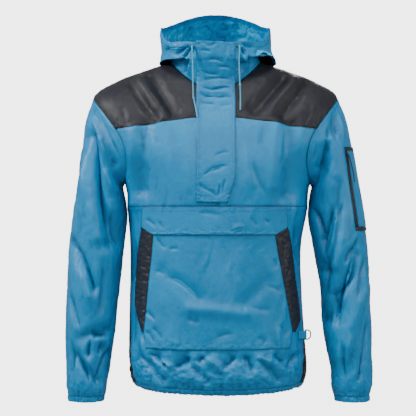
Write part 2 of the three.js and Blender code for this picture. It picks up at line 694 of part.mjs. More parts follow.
function buildHem() {
  gatheredBand("hem_band", onBody, BODY.hem, BODY.hem_top, HEM_WAVES, 1.3, false);
}

// Turns round a sleeve that meet the corners of the panels' cells at the armhole.
function sleeveTurns() {
  const stops = [
    { turn: 0, count: ARM_CELLS.yoke },
    { turn: YOKE_END.front, count: ARM_CELLS.chest },
    { turn: armpitAngle, count: ARM_CELLS.side },
    { turn: armpitAngleBack, count: ARM_CELLS.back },
    { turn: 2 * Math.PI - YOKE_END.back, count: ARM_CELLS.backYoke },
    { turn: 2 * Math.PI, count: 0 },
  ];
  return stops.flatMap(({ turn, count }, k) =>
    Array.from({ length: count }, (_, n) => mix(turn, stops[k + 1].turn, n / count)),
  );
}

function buildSleeves() {
  for (const { name, side } of SIDES) {
    const surface = onSleeve(side);
    const grid = sleeveTurns().map((turn) =>
      Array.from({ length: SLEEVE_ROWS + 1 }, (_, j) => surface(turn, (SLEEVE.cuff_top * j) / SLEEVE_ROWS)),
    );
    const inset = { bottom: ARMHOLE_INSET };
    add(`sleeve_${name}`, wallGeometry(grid, { closedU: true, inset }), BLUE);
    gatheredBand(`cuff_${name}`, surface, SLEEVE.cuff_top, SLEEVE.cuff, CUFF_WAVES, 1.1, true);
  }
}

// The level on the hood at which the casing band starts, for this turn.
function casingLevel(turn) {
  const edge = hoodBase(turn, HOOD.edge);
  return solve((p) => -hoodBase(turn, p).distanceTo(edge), -HOOD_CASING, HOOD.outer, HOOD.edge);
}

// A seam of the hood from the neck up to the casing, which swings forwards above the cowl.
function hoodSeam(low, high) {
  const top = casingLevel(high);
  return (t) => [mix(low, high, smooth(0.45, 0.95, t)), top * t];
}

function buildHood() {
  const turn = 2 * Math.PI;
  const { from, to, topFrom, topTo } = HOOD_GREY;
  const part = (name, material, start, end, across) => {
    const [a, b] = [start(1)[0], end(1)[0]];
    const edges = {
      bottom: line(start(0), end(0)),
      top: (s) => [mix(a, b, s), casingLevel(mix(a, b, s))],
      start,
      end,
    };
    const options = { surface: onHood, inset: { start: 0.35, end: 0.35 } };
    bodyPanel(name, material, edges, across, 12, options);
  };
  part("hood_left", BLUE, hoodSeam(0, 0), hoodSeam(from, topFrom), HOOD_CELLS.side);
  part("hood_back", GREY, hoodSeam(from, topFrom), hoodSeam(to, topTo), HOOD_CELLS.back);
  part("hood_right", BLUE, hoodSeam(to - turn, topTo - turn), hoodSeam(0, 0), HOOD_CELLS.side);
  const cellsRound = 2 * HOOD_CELLS.side + HOOD_CELLS.back;
  const stops = [0, topFrom, topTo, turn];
  const counts = [HOOD_CELLS.side, HOOD_CELLS.back, HOOD_CELLS.side];
  const turnAt = (s) => {
    let cell = s * cellsRound;
    let k = 0;
    while (k < 2 && cell > counts[k]) {
      cell -= counts[k];
      k += 1;
    }
    return mix(stops[k], stops[k + 1], cell / counts[k]);
  };
  bodyPanel(
    "hood_casing",
    BLUE,
    {
      bottom: (s) => [turnAt(s), casingLevel(turnAt(s))],
      top: (s) => [turnAt(s), HOOD.edge],
      start: line([0, casingLevel(0)], [0, HOOD.edge]),
      end: line([turn, casingLevel(turn)], [turn, HOOD.edge]),
    },
    cellsRound,
    1,
    { surface: onHood },
  );
}

const garmentFront = -1; // the front-lying pieces are moved out along -Y

// A point on the body or hood at a height, straight ahead of x.
function frontOfNeck(x, z) {
  const seam = BODY_RINGS[BODY.neck].front;
  if (z < seam) {
    const { point } = onFront(x, z);
    return point;
  }
  let place = 0;
  let turn = 0;
  for (let n = 0; n < 6; n += 1) {
    turn = solve((t) => hoodBase(t, place).x, x, -1, 1);
    place = solve((p) => hoodBase(turn, p).z, z, 0, HOOD.edge + 0.6);
  }
  return hoodBase(turn, place);
}

function frontStrip(lift, neckLift) {
  const seam = BODY_RINGS[BODY.neck].front;
  return (x, z) => {
    const point = frontOfNeck(x, z);
    const away = (z - seam) / PLACKET.neckReach;
    point.y += garmentFront * (lift + neckLift * Math.exp(-away * away));
    return { point, normal: new THREE.Vector3(0, garmentFront, 0) };
  };
}

function buildPlacket() {
  const bottomLeft = PLACKET.half - PLACKET.cutWidth;
  const leftEdge = chain(
    line([bottomLeft, PLACKET.bottom], [PLACKET.half, PLACKET.cutFrom]),
    line([PLACKET.half, PLACKET.cutFrom], [PLACKET.half, PLACKET.topLeft]),
    0.2,
  );
  const edges = {
    bottom: line([-PLACKET.half, PLACKET.bottom], [bottomLeft, PLACKET.bottom]),
    top: line([-PLACKET.half, PLACKET.topRight], [PLACKET.half, PLACKET.topLeft]),
    start: line([-PLACKET.half, PLACKET.bottom], [-PLACKET.half, PLACKET.topRight]),
    end: leftEdge,
  };
  bodyPanel("placket", BLUE, edges, 4, 20, { surface: frontStrip(PLACKET.lift, PLACKET.neckLift) });
}

// The kangaroo pocket lies on the front, with a low belly in its middle.
function onPocket(x, z) {
  const { point, normal } = onFront(x, z);
  const across = Math.cos(QUARTER * Math.min(Math.abs(x) / 170, 1));
  const up = Math.sin((Math.PI * (z - POCKET.bottom)) / (POCKET.top - POCKET.bottom));
  const full = across * Math.max(up, 0);
  return { point, normal, extra: POCKET.lift + full * (POCKET.belly + foldRise(POCKET_FOLDS, x, z)) };
}

// Heights that pass through the edge table's rows in even steps of t, so that joined pieces share corners.
const stepped = (heights) => (t) => {
  const place = t * (heights.length - 1);
  const k = Math.min(Math.floor(place), heights.length - 2);
  return mix(heights[k], heights[k + 1], place - k);
};

function buildPocket() {
  const edgeHeights = POCKET_EDGES.map(({ z }) => z).reverse();
  const trimHeight = stepped(edgeHeights);
  const pocketHeight = stepped([POCKET.bottom, ...edgeHeights, FLAP.top]);
  const side = (key, foot) => (t) => {
    const z = pocketHeight(t);
    const tip = POCKET_EDGES[POCKET_EDGES.length - 1];
    const up = (z - POCKET.bottom) / (tip.z - POCKET.bottom);
    const x = z < tip.z ? mix(foot, tip[key], up) : columnAt(POCKET_EDGES, key, z);
    return [x, z];
  };
  const right = side("inR", POCKET_FOOT.right);
  const left = side("inL", POCKET_FOOT.left);
  bodyPanel(
    "pocket_body",
    BLUE,
    { bottom: line(right(0), left(0)), top: line(right(1), left(1)), start: right, end: left },
    14,
    14,
    { surface: onPocket },
  );
  const trims = [
    { name: "left", inner: "inL", outer: "outL" },
    { name: "right", inner: "inR", outer: "outR" },
  ];
  for (const { name, inner, outer } of trims) {
    const innerEdge = (t) => {
      const z = trimHeight(t);
      return [columnAt(POCKET_EDGES, inner, z), z];
    };
    const outerEdge = (t) => {
      const z = trimHeight(t);
      return [columnAt(POCKET_EDGES, outer, z), z + TRIM_RISE * smooth(0.4, 1, t)];
    };
    bodyPanel(
      `pocket_trim_${name}`,
      GREY,
      {
        bottom: line(innerEdge(0), outerEdge(0)),
        top: line(innerEdge(1), outerEdge(1)),
        start: innerEdge,
        end: outerEdge,
      },
      2,
      10,
      { surface: onPocket },
    );
  }
  const flapSide = (key, half, sign) =>
    chain(
      line([POCKET_EDGES[0][key], FLAP.bottom], [sign * half, FLAP.bottom + FLAP.corner]),
      line([sign * half, FLAP.bottom + FLAP.corner], [sign * (half - 2), FLAP.top]),
      0.5,
    );
  const flapRight = flapSide("inR", FLAP.topHalfR, -1);
  const flapLeft = flapSide("inL", FLAP.topHalfL, 1);
  bodyPanel(
    "pocket_flap",
    BLUE,
    {
      bottom: line(flapRight(0), flapLeft(0)),
      top: line(flapRight(1), flapLeft(1)),
      start: flapRight,
      end: flapLeft,
    },
    18,
    2,
    { surface: onPocket, lift: FLAP.lift - POCKET.lift },
  );
}

// The sleeve pocket and its tapes lie on the wearer's left sleeve.
function sleeveLevel(surface, around, height) {
  return solve((p) => -surface(around, p).point.z, -height, 0.3, SLEEVE.cuff);
}

function buildSleevePocket() {
  const surface = onSleeve(1);
  const spot = (around, z) => surface(around, sleeveLevel(surface, around, z));
  const { top, bottom, front, back, tape, lift } = SLEEVE_POCKET;
  const radius = 62;
  const turn = tape / radius;
  const strip = (name, material, a, b, low, high, across, up, out) => {
    const edges = {
      bottom: line([a, low], [b, low]),
      top: line([a, high], [b, high]),
      start: line([a, low], [a, high]),
      end: line([b, low], [b, high]),
    };
    bodyPanel(name, material, edges, across, up, { surface: spot, lift: out });
  };
  strip("sleeve_pocket", BLUE, front - turn, back + turn, bottom + tape, top - tape, 8, 8, lift);
  strip("sleeve_pocket_zip", GREY, front, front - turn, bottom + tape, top - tape, 1, 8, lift);
  strip("sleeve_pocket_back_tape", GREY, back + turn, back, bottom + tape, top - tape, 1, 8, lift);
  strip("sleeve_pocket_top_tape", GREY, front, back, top - tape, top, 10, 1, lift);
  strip("sleeve_pocket_bottom_tape", GREY, front, back, bottom, bottom + tape, 10, 1, lift);

  const seat = spot(front - 0.5 * turn, SLIDER.at);
  const frame = frameOn(seat, new THREE.Vector3(0, 0, 1));
  const slider = new THREE.BoxGeometry(SLIDER.wide, SLIDER.long, SLIDER.high);
  slider.translate(0, 0, lift + LAYER_GAP + 0.5 * SLIDER.high);
  add("zip_slider", slider.applyMatrix4(frame), BLACK);
  const out = lift + LAYER_GAP + SLIDER.high + PULL_CORD.radius;
  const hang = (down, sideways, away) => new THREE.Vector3(sideways, -down, away).applyMatrix4(frame);
  const path = new THREE.CatmullRomCurve3([
    hang(SLIDER.long * 0.1, 0, out + 0.4),
    hang(PULL_CORD.long * 0.3, 1.5, out + 2.2),
    hang(PULL_CORD.long * 0.65, 4.5, out + 3.5),
    hang(PULL_CORD.long, 4, out + 4.5),
  ]);
  add("zip_pull", tube(path, PULL_CORD.radius, 10, 6), BLACK);
}

// A frame whose Z is the surface's normal and whose Y runs up along it.
function frameOn({ point, normal }, up) {
  const side = up.clone().cross(normal).normalize();
  const rise = normal.clone().cross(side);
  return new THREE.Matrix4().makeBasis(side, rise, normal).setPosition(point);
}

function tube(path, radius, steps, sides) {
  const section = new THREE.Shape(
    Array.from({ length: sides }, (_, k) => {
      const turn = (2 * Math.PI * k) / sides;
      return new THREE.Vector2(radius * Math.cos(turn), radius * Math.sin(turn));
    }),
  );
  return closed(new THREE.ExtrudeGeometry(section, { extrudePath: path, steps, bevelEnabled: false }));
}

function closed(geometry) {
  geometry.deleteAttribute("normal");
  geometry.deleteAttribute("uv");
  const merged = mergeVertices(geometry, 1e-4);
  return facingOut([...merged.attributes.position.array], [...merged.index.array]);
}

// A D ring of round wire that swings about its straight bar, held in a folded tab of webbing.
function ringFrame() {
  const { point, normal } = onFront(RING_TAB.x, RING_TAB.z);
  const bar = new THREE.Vector3(0, 0, 1);
  const along = bar.clone().cross(normal).normalize().applyAxisAngle(bar, -RING_TAB.splay);
  const root = point.addScaledVector(normal, RING_TAB.skin + LAYER_GAP + 0.3);
  const away = along.clone().cross(bar).normalize();
  root.addScaledVector(along, RING_TAB.long);
  return new THREE.Matrix4().makeBasis(along, bar, away).setPosition(root);
}

function buildRing() {
  const frame = ringFrame();
  const half = 0.5 * RING.bar;
  const bend = [];
  const count = 22;
  for (let k = 0; k < count; k += 1) {
    // A closed D: the straight bar at x = 0, then an arch that reaches out along x.
    const turn = (2 * Math.PI * k) / count;
    const x = RING.reach * Math.max(0, Math.sin(turn)) ** 0.75;
    const y = -half * Math.sign(Math.cos(turn)) * Math.abs(Math.cos(turn)) ** (Math.sin(turn) < 0 ? 1 : 0.72);
    bend.push(new THREE.Vector3(x, y, 0));
  }
  add("d_ring", loopTube(bend, RING.wire, 6).applyMatrix4(frame), DARK_METAL);
  buildRingTab(frame);
}

// A closed tube through a loop of points that lie in the XY plane.
function loopTube(points, radius, sides) {
  const count = points.length;
  const positions = [];
  const index = [];
  for (let k = 0; k < count; k += 1) {
    const ahead = points[(k + 1) % count].clone().sub(points[(k + count - 1) % count]).normalize();
    const out = new THREE.Vector3(ahead.y, -ahead.x, 0);
    for (let n = 0; n < sides; n += 1) {
      const turn = (2 * Math.PI * n) / sides;
      const spot = points[k].clone().addScaledVector(out, radius * Math.cos(turn));
      positions.push(spot.x, spot.y, radius * Math.sin(turn));
      const [a, b] = [k * sides + n, k * sides + ((n + 1) % sides)];
      const [c, d] = [((k + 1) % count) * sides + ((n + 1) % sides), ((k + 1) % count) * sides + n];
      index.push(a, b, c, a, c, d);
    }
  }
  return facingOut(positions, index);
}

// The webbing goes round the ring's bar and back, as a folded strip with an open eye.
function buildRingTab(frame) {
  const eye = RING.wire + 0.35;
  const { skin, long } = RING_TAB;
  const outline = new THREE.Shape();
  outline.absarc(0, 0, eye + skin, -0.62 * Math.PI, 0.62 * Math.PI, false);
  outline.lineTo(-long, skin);
  outline.lineTo(-long, -skin);
  outline.closePath();
  const hole = new THREE.Path();
  hole.absarc(0, 0, eye, 0, 2 * Math.PI, true);
  outline.holes.push(hole);
  const extrusion = { depth: RING_TAB.wide, bevelEnabled: false, curveSegments: 8 };
  const geometry = new THREE.ExtrudeGeometry(outline, extrusion);
  geometry.translate(0, 0, -0.5 * RING_TAB.wide);
  geometry.rotateX(-QUARTER); // the strip's width runs along the bar
  add("ring_tab", closed(geometry.applyMatrix4(frame)), BLUE);
}

function buildDrawcords() {
  for (const { name, side } of SIDES) {
    const point = frontOfNeck(side * EYELET.x, EYELET.z);
    const turn = solve((t) => hoodBase(t, HOOD.casing).x, side * EYELET.x, -1, 1);
    const normal = normalOf(hoodBase, turn, HOOD.casing, 1);
    const frame = frameOn({ point, normal }, new THREE.Vector3(0, 0, 1));
    const { inner, outer, high } = EYELET;
    const profile = [
      [inner, 0],
      [outer, 0],
      [outer, 0.5 * high],
      [0.5 * (inner + outer), high],
      [inner, 0.5 * high],
      [inner, 0],
    ].map(([x, y]) => new THREE.Vector2(x, y));
    const ring = new THREE.LatheGeometry(profile, 10).rotateX(QUARTER).translate(0, 0, LAYER_GAP + 0.15);
    add(`eyelet_${name}`, closed(ring.applyMatrix4(frame)), CORD_BLUE);

    const route = CORDS[name];
    const curve = (points) => new THREE.CatmullRomCurve3(points.map((p) => new THREE.Vector3(...p)));
    const outOfEye = [LAYER_GAP, 4.4].map((out) => point.clone().addScaledVector(normal, out).toArray());
    add(`drawcord_${name}`, tube(curve([...outOfEye, ...route.hang]), CORD_RADIUS, 18, 8), CORD_BLUE);
    add(`drawcord_tail_${name}`, tube(curve(route.tail), CORD_RADIUS, 6, 8), CORD_BLUE);
    const [top, foot] = [route.hang.at(-1), route.tail[0]].map((p) => new THREE.Vector3(...p));
    const axis = foot.clone().sub(top);
    const knotLong = axis.length() - 0.6;
    const knot = new THREE.SphereGeometry(1, 8, 6).scale(KNOT.radius, 0.5 * knotLong, KNOT.radius);
    const up = new THREE.Vector3(0, 1, 0);
    const turnTo = new THREE.Quaternion().setFromUnitVectors(up, axis.clone().normalize());
    knot.applyQuaternion(turnTo).translate(...top.clone().add(foot).multiplyScalar(0.5).toArray());
    add(`drawcord_knot_${name}`, closed(knot), CORD_BLUE);
  }
}

buildFront();
buildBack();
buildSides();
buildHem();
buildSleeves();
buildHood();
buildPlacket();
buildPocket();
buildSleevePocket();
buildRing();
buildDrawcords();

export default garment;
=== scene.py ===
"""A hooded half-length nylon anorak, filled out as when it is worn, dressed over its solid model."""

import logging
import math
from dataclasses import dataclass, field
from enum import Enum
from typing import Callable, NamedTuple

import bpy
import numpy as np
from mathutils import Matrix, Vector


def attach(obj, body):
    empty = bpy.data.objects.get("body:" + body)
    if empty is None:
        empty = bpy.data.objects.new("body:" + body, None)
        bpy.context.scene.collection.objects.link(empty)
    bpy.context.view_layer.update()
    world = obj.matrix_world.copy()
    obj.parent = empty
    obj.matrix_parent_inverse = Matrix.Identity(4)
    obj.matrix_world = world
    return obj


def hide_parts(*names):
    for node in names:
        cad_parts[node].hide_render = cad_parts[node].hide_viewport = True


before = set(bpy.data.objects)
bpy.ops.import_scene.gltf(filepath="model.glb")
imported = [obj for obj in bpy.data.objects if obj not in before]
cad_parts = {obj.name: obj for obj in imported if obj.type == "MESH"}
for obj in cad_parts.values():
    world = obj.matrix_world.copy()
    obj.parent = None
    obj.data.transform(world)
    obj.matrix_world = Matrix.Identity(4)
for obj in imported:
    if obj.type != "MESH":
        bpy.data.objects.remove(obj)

logging.basicConfig(level=logging.INFO, format="%(message)s")
LOG = logging.getLogger("anorak")

Array = np.ndarray
MM = 0.001
QUARTER = math.pi / 2
FULL = 2 * math.pi
BODY_NAME = "garment"
RING_NAME = "ring"
WALL = 0.9
LAYER_GAP = 0.35

# Folds narrower than this half width are creases, with a strength of their own
CREASE_WIDE = 9.0
CREASE_GAIN = 3.6
FOLD_GAIN = 1.6

# Painted shade: how dark hollows and sewn edges are painted
HOLLOW_SHADE_GAIN = 0.75
SEAM_SHADE = 1.3


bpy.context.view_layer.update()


# Sizes in millimetres, in the part's own frame


class BodyRow(NamedTuple):
    """One ring round the body."""

    name: str
    side: float
    front: float
    back: float
    x: float
    wide: float
    fore: float
    aft: float
    square: float


BODY_ROWS = (
    BodyRow("hem", -682, -690, -681, 7, 174, 117, 110, 2.2),
    BodyRow("hem_top", -669, -677, -668, 6, 184, 123, 116, 2.2),
    BodyRow("blouse", -640, -648, -640, 5, 189, 131, 123, 2.2),
    BodyRow("hip", -582, -590, -582, 3, 188.5, 128, 121, 2.2),
    BodyRow("seat", -495, -500, -495, 1, 185, 125, 114, 2.2),
    BodyRow("waist", -390, -397, -392, 0, 183, 123, 104, 2.25),
    BodyRow("ribs", -306, -305, -300, 4, 192.5, 128, 115, 2.3),
    BodyRow("armpit", -248, -242, -226, 4, 199, 131, 124, 2.4),
    BodyRow("armhole", -140, -194, -162, 1, 242, 128, 126, 2.5),
    BodyRow("shoulder_tip", -67, -147, -102, 0, 262, 118, 120, 2.4),
    BodyRow("shoulder", -31, -116, -60, 0, 214, 107, 108, 2.3),
    BodyRow("shoulder_in", -9, -84, -22, 0, 158, 94, 92, 2.1),
    BodyRow("neck", 11, -52, 12, 0, 96, 80, 74, 2),
)


class HoodRow(NamedTuple):
    """One ring round the neck and hood, with the heights and direction of its front corners."""

    name: str
    front: float
    right: float
    left: float
    side: float
    back: float
    corner: float
    x: float
    wide: float
    fore: float
    aft: float


HOOD_ROWS = (
    HoodRow("neck_low", -32, 8, 12, 27, 32, 62, 0, 91, 86, 79),
    HoodRow("neck_top", -14, 27, 38, 41, 57, 62, 1, 95, 91, 94),
    HoodRow("slope", 1, 23, 33, 28, 4, 62, 3, 111, 95, 122),
    HoodRow("cowl_edge", 12, 12, 21, 8, -64, 60, 5, 125, 98, 142),
    HoodRow("outer", 24, 27, 31, 38, 26, 56, 2, 118, 100, 158),
    HoodRow("casing", 34, 38, 39, 72, 96, 52, 0, 119, 101, 124),
    HoodRow("edge", 45, 48, 49, 89, 127, 50, 0, 117, 101.5, 92),
)
HOOD_SIDE = math.radians(98)
HOOD_SQUARE = 2.2
HOOD_GREY = (math.radians(97), math.radians(263))
HOOD_CASING = 13


class SleeveRow(NamedTuple):
    """One ring round a sleeve: heights and reaches of its inner and outer outline."""

    name: str
    z_in: float
    z_out: float
    in_left: float
    out_left: float
    in_right: float
    out_right: float
    deep: float
    y: float


SLEEVE_ROWS = (
    SleeveRow("cap_high", -257, -112, 206, 280, 199, 277, 80, 0),
    SleeveRow("cap_low", -271, -168, 203.5, 292, 195.5, 286, 78, -2),
    SleeveRow("upper", -297, -235, 200, 303, 191, 293, 73, -6),
    SleeveRow("biceps", -330, -305, 199, 315, 189, 304, 69, -10),
    SleeveRow("above_elbow", -388, -383, 209, 325, 196, 314, 65, -13),
    SleeveRow("elbow", -470, -470, 224, 330, 205, 317, 61, -16),
    SleeveRow("forearm", -560, -560, 229, 333, 214, 320, 55, -20),
    SleeveRow("low", -640, -640, 245, 334, 226, 318, 49, -24),
    SleeveRow("wrist", -678, -678, 247, 333, 231, 318, 45, -26),
    SleeveRow("cuff_top", -698, -698, 253, 329, 236, 314, 39, -27),
    SleeveRow("cuff", -711, -711, 255, 328, 239, 312, 38, -27),
)

BODY = {row.name: float(k) for k, row in enumerate(BODY_ROWS)}
HOOD = {row.name: float(k + 1) for k, row in enumerate(HOOD_ROWS)}
SLEEVE = {row.name: float(k + 1) for k, row in enumerate(SLEEVE_ROWS)}

ARM_MIDDLE = BODY["armhole"]
ARM_FRONT_CUT = math.radians(40)
ARM_BACK_CUT = math.radians(36)
YOKE_FRONT = (-111, 34, 215)
YOKE_BACK = (-118, 8, 215)
YOKE_END_FRONT = math.radians(70)
YOKE_END_BACK = math.radians(66)
SIDE_TOP = math.radians(4)
SIDE_HEM = math.radians(22)
WAIST_SEAM = -298

PLACKET_HALF = 41
PLACKET_TOP = (48, 44)
PLACKET_BOTTOM = -290
PLACKET_CUT = (-238, 17)
PLACKET_LIFT = 2.6
PLACKET_NECK = (6, 20)

POCKET_TOP = -299
POCKET_BOTTOM = -594
POCKET_LIFT = 2.4
POCKET_BELLY = 5
POCKET_FOOT = (-147, 155)
TRIM_RISE = 17
FLAP_BOTTOM = -356
FLAP_HALVES = (153, 148)
FLAP_LIFT = 5.6
FLAP_CORNER = 16


class EdgeRow(NamedTuple):
    """Where a pocket trim's edges are at one height."""

    z: float
    in_right: float
    out_right: float
    in_left: float
    out_left: float


POCKET_EDGES = (
    EdgeRow(-356, -129, -154, 122, 150),
    EdgeRow(-398, -132, -162, 129, 159),
    EdgeRow(-450, -138, -167, 139, 167),
    EdgeRow(-501, -143, -170, 149, 175),
    EdgeRow(-535, -147, -163, 155, 179),
    EdgeRow(-561, -150, -153, 161, 168),
)

ARM_POCKET_TOP = -172
ARM_POCKET_BOTTOM = -349
ARM_POCKET_FRONT = math.radians(56)
ARM_POCKET_BACK = math.radians(-52)
ARM_POCKET_TAPE = 8
ARM_POCKET_LIFT = 2.4
SLIDER_AT = -190

RING_WIRE = 1.5
RING_BAR = 20
RING_REACH = 15
TAB_WIDE = 17
TAB_LONG = 20
TAB_SKIN = 0.9
TAB_SPOT = (173, -569)
TAB_SPLAY = math.radians(17)

EYELET_SPOT = (48, 36)
CORD_RADIUS = 1.5
CORD_ROUTES = {
    "right": (
        (-49.4, -102.2, 29),
        (-49, -102.4, 21),
        (-48, -102, -8),
        (-47, -101, -60),
        (-46.6, -101.2, -69),
        (-45.4, -101.6, -75.5),
        (-42.4, -103.6, -90),
        (-38.4, -110.2, -112),
    ),
    "left": (
        (49.4, -102.2, 29),
        (49, -102.4, 21),
        (48.6, -101.6, 0),
        (50, -99.4, -36),
        (50.4, -99, -41),
        (50.6, -98.6, -48),
        (51.4, -97.6, -70),
        (51, -99.8, -97),
    ),
}
KNOT_AT = {"right": (-46, -101.4, -72.2), "left": (50.5, -98.8, -44.5)}


class Fold(NamedTuple):
    """A trough or ridge seen from the front or back: ends, half width, and rise of its middle line."""

    x0: float
    z0: float
    x1: float
    z1: float
    wide: float
    rise: float
    bow: float = 0.0
    lean: float = 0.0


def folds(*rows: tuple[float, ...]) -> tuple[Fold, ...]:
    """A table of folds, one to a row."""
    return tuple(Fold(*row) for row in rows)


# In the body's and sleeves' tables the folds that the solid has too come first, then the finer creases.
FRONT_FOLDS = folds(
    (-183, -35, -128, -112, 11, -4.5),
    (-138, -18, -88, -100, 13, -5),
    (-160, -28, -108, -108, 12, 3.5),
    (192, -32, 140, -108, 11, -4.5),
    (140, -30, 82, -96, 13, -5),
    (166, -30, 112, -104, 12, 3.5),
    (-146, -128, -152, -262, 14, -4.5),
    (-172, -140, -176, -290, 13, 4),
    (158, -128, 152, -270, 16, -5.5),
    (126, -126, 118, -256, 15, 3),
    (-150, -616, -112, -660, 9, -5),
    (-60, -618, -18, -656, 9, -4.5),
    (96, -616, 132, -658, 9, -4.5),
    # Yokes: soft diagonals that run from the neck and shoulder down to the seam
    (-176, -54, -122, -120, 5.5, -0.67, 4, 0.4),
    (-112, -34, -52, -106, 6.8, -0.57, 6, 0.3),
    (-201, -82, -189, -122, 4.2, -0.46, 2, 0.3),
    (-146, -48, -124, -118, 3.8, 0.42, -4),
    (88, -56, 62, -108, 6, -0.54, -3, -0.4),
    (184, -64, 112, -114, 6.8, -0.67, -4, -0.4),
    (150, -44, 96, -108, 6, 0.48, -4),
    (205, -96, 184, -130, 5.1, -0.54, -2, -0.3),
    # Chest: long soft falls from the yoke seam
    (-160, -134, -152, -200, 7.2, -0.65, 4, 0.4),
    (-136, -132, -120, -176, 6, -0.45, 2, 0.3),
    (-132, -190, -140, -280, 9.6, -0.55, -4, 0.3),
    (-118, -230, -126, -288, 6, -0.45, -2, -0.3),
    (-96, -130, -88, -190, 9.6, -0.4, 2),
    (-70, -140, -64, -260, 12, 0.4, 3),
    (74, -190, 112, -282, 7.2, -0.55, -6, 0.4),
    (60, -176, 88, -276, 7.2, 0.45, -5, -0.3),
    (142, -134, 138, -196, 7.2, -0.55, 3, -0.4),
    (98, -128, 94, -176, 7.2, -0.45, -2, 0.3),
    (176, -190, 158, -292, 10.8, -0.8, 6, 0.4),
    (178, -140, 182, -220, 9.6, 0.55, -3),
    # Below the pocket: broad crumples above the elastic
    (-142, -602, -96, -640, 7, -3.4, 4, 0.4),
    (-122, -612, -84, -632, 6, 2.6, -2),
    (-96, -632, -48, -604, 8, -3.6, -5, 0.4),
    (-40, -622, -22, -606, 6, -2.8, 2, -0.4),
    (-24, -608, 10, -640, 8, 2.8, 4),
    (8, -632, 44, -604, 7, -3, -4, 0.4),
    (52, -600, 82, -646, 7, -3, 4, -0.3),
    (80, -608, 120, -630, 7, 2.6, 4),
    (118, -600, 152, -626, 6, -3, -3, 0.4),
    (146, -640, 172, -600, 7, -3, -3),
    # Beside the pocket
    (-172, -360, -178, -470, 6, -2, 3),
    (-170, -500, -174, -600, 6, -2.2, -3, 0.3),
    (168, -330, 176, -430, 6, -2.2, -3, 0.3),
    (-160, -560, -146, -640, 6, 2.2, 4),
)
BACK_FOLDS = folds(
    (150, -30, 96, -112, 14, -4),
    (-156, -34, -104, -116, 14, -4.5),
    (134, -150, 116, -300, 18, -5),
    (-126, -150, -112, -312, 18, -5.5),
    (22, -170, 10, -340, 20, 3.5),
    (146, -372, 34, -424, 16, -5),
    (-148, -356, -44, -420, 16, -4.5),
    (-70, -500, 62, -540, 18, 4),
    (96, -584, 126, -646, 12, -5),
    (-82, -588, -118, -646, 12, -5),
    (-176, -60, -150, -116, 6, -2.6, 3, 0.4),
    (-112, -50, -84, -112, 6, -2.6, 4, 0.3),
    (118, -56, 82, -112, 6, -2.6, -4, -0.4),
    (182, -60, 158, -114, 6, -2.6, -3, -0.3),
    (20, -84, 12, -114, 5, -1.6, 1),
    (-168, -150, -150, -262, 9, -3, 6, 0.4),
    (170, -150, 148, -270, 9, -3.2, -6, -0.4),
    (-70, -128, -62, -240, 9, -2.2, 4, 0.3),
    (66, -128, 72, -250, 9, -2.2, -4, 0.3),
    (-160, -330, -70, -372, 9, -3.2, 8, 0.4),
    (158, -338, 62, -386, 9, -3, -8, -0.4),
    (-110, -400, -10, -446, 9, 2.6, 8),
    (104, -420, 22, -462, 10, -2.6, -6, 0.3),
    (-150, -470, -60, -520, 10, -3, 8, 0.3),
    (146, -470, 70, -560, 10, -3, -8, 0.3),
    (-20, -560, 30, -620, 8, -2.8, 4, 0.4),
    (-146, -580, -104, -636, 7, -3, 4, 0.4),
    (-60, -600, -40, -650, 7, -3, 3),
    (52, -596, 84, -640, 7, -3, -4, 0.3),
    (124, -600, 152, -640, 7, 2.6, 3),
)
POCKET_FOLDS = folds(
    (-112, -428, -38, -488, 15, -3.5),
    (-52, -508, 66, -520, 13, 4),
    (108, -450, 60, -496, 15, -3.5),
)
POCKET_CREASES = folds(
    (-122, -358, -98, -388, 4, -0.78, -4, 0.5),
    (-98, -388, -72, -386, 3.6, -0.66, 2, 0.4),
    (-129, -432, -104, -440, 4, -0.48, 2, 0.3),
    (-108, -440, -26, -500, 8, -1.08, 8, 0.5),
    (-90, -452, -50, -486, 6, 0.54, 3),
    (-150, -516, -122, -538, 5, -0.96, 2, 0.5),
    (-62, -528, -28, -536, 6, -0.66, -3, 0.4),
    (100, -462, 140, -478, 6, -0.66, 2, 0.4),
    (118, -404, 124, -430, 3.5, -0.6, 2, 0.3),
    (-6, -572, 40, -560, 7, -0.72, 4),
    (60, -500, 122, -512, 8, -0.6, -4, 0.3),
    (-148, -556, -128, -584, 4, -1.08, 3, 0.5),
    (-136, -548, -108, -580, 5, -0.84, 4, 0.4),
    (-96, -570, -70, -582, 5, 0.6, -3),
    (84, -566, 104, -584, 5, -0.72, 3),
    (126, -540, 148, -574, 5, -0.84, 4, 0.4),
)
FLAP_CREASES = folds(
    (-146, -322, -120, -342, 3.5, -0.7, 2, 0.4),
    (-118, -326, -104, -346, 3, -0.55, 1),
    (68, -318, 84, -340, 3.5, -0.6, 2),
    (98, -322, 112, -330, 3.5, -0.6, -2),
    (-40, -312, 20, -318, 5, -0.5, 3),
    (30, -344, 62, -338, 4, 0.55, 2),
)
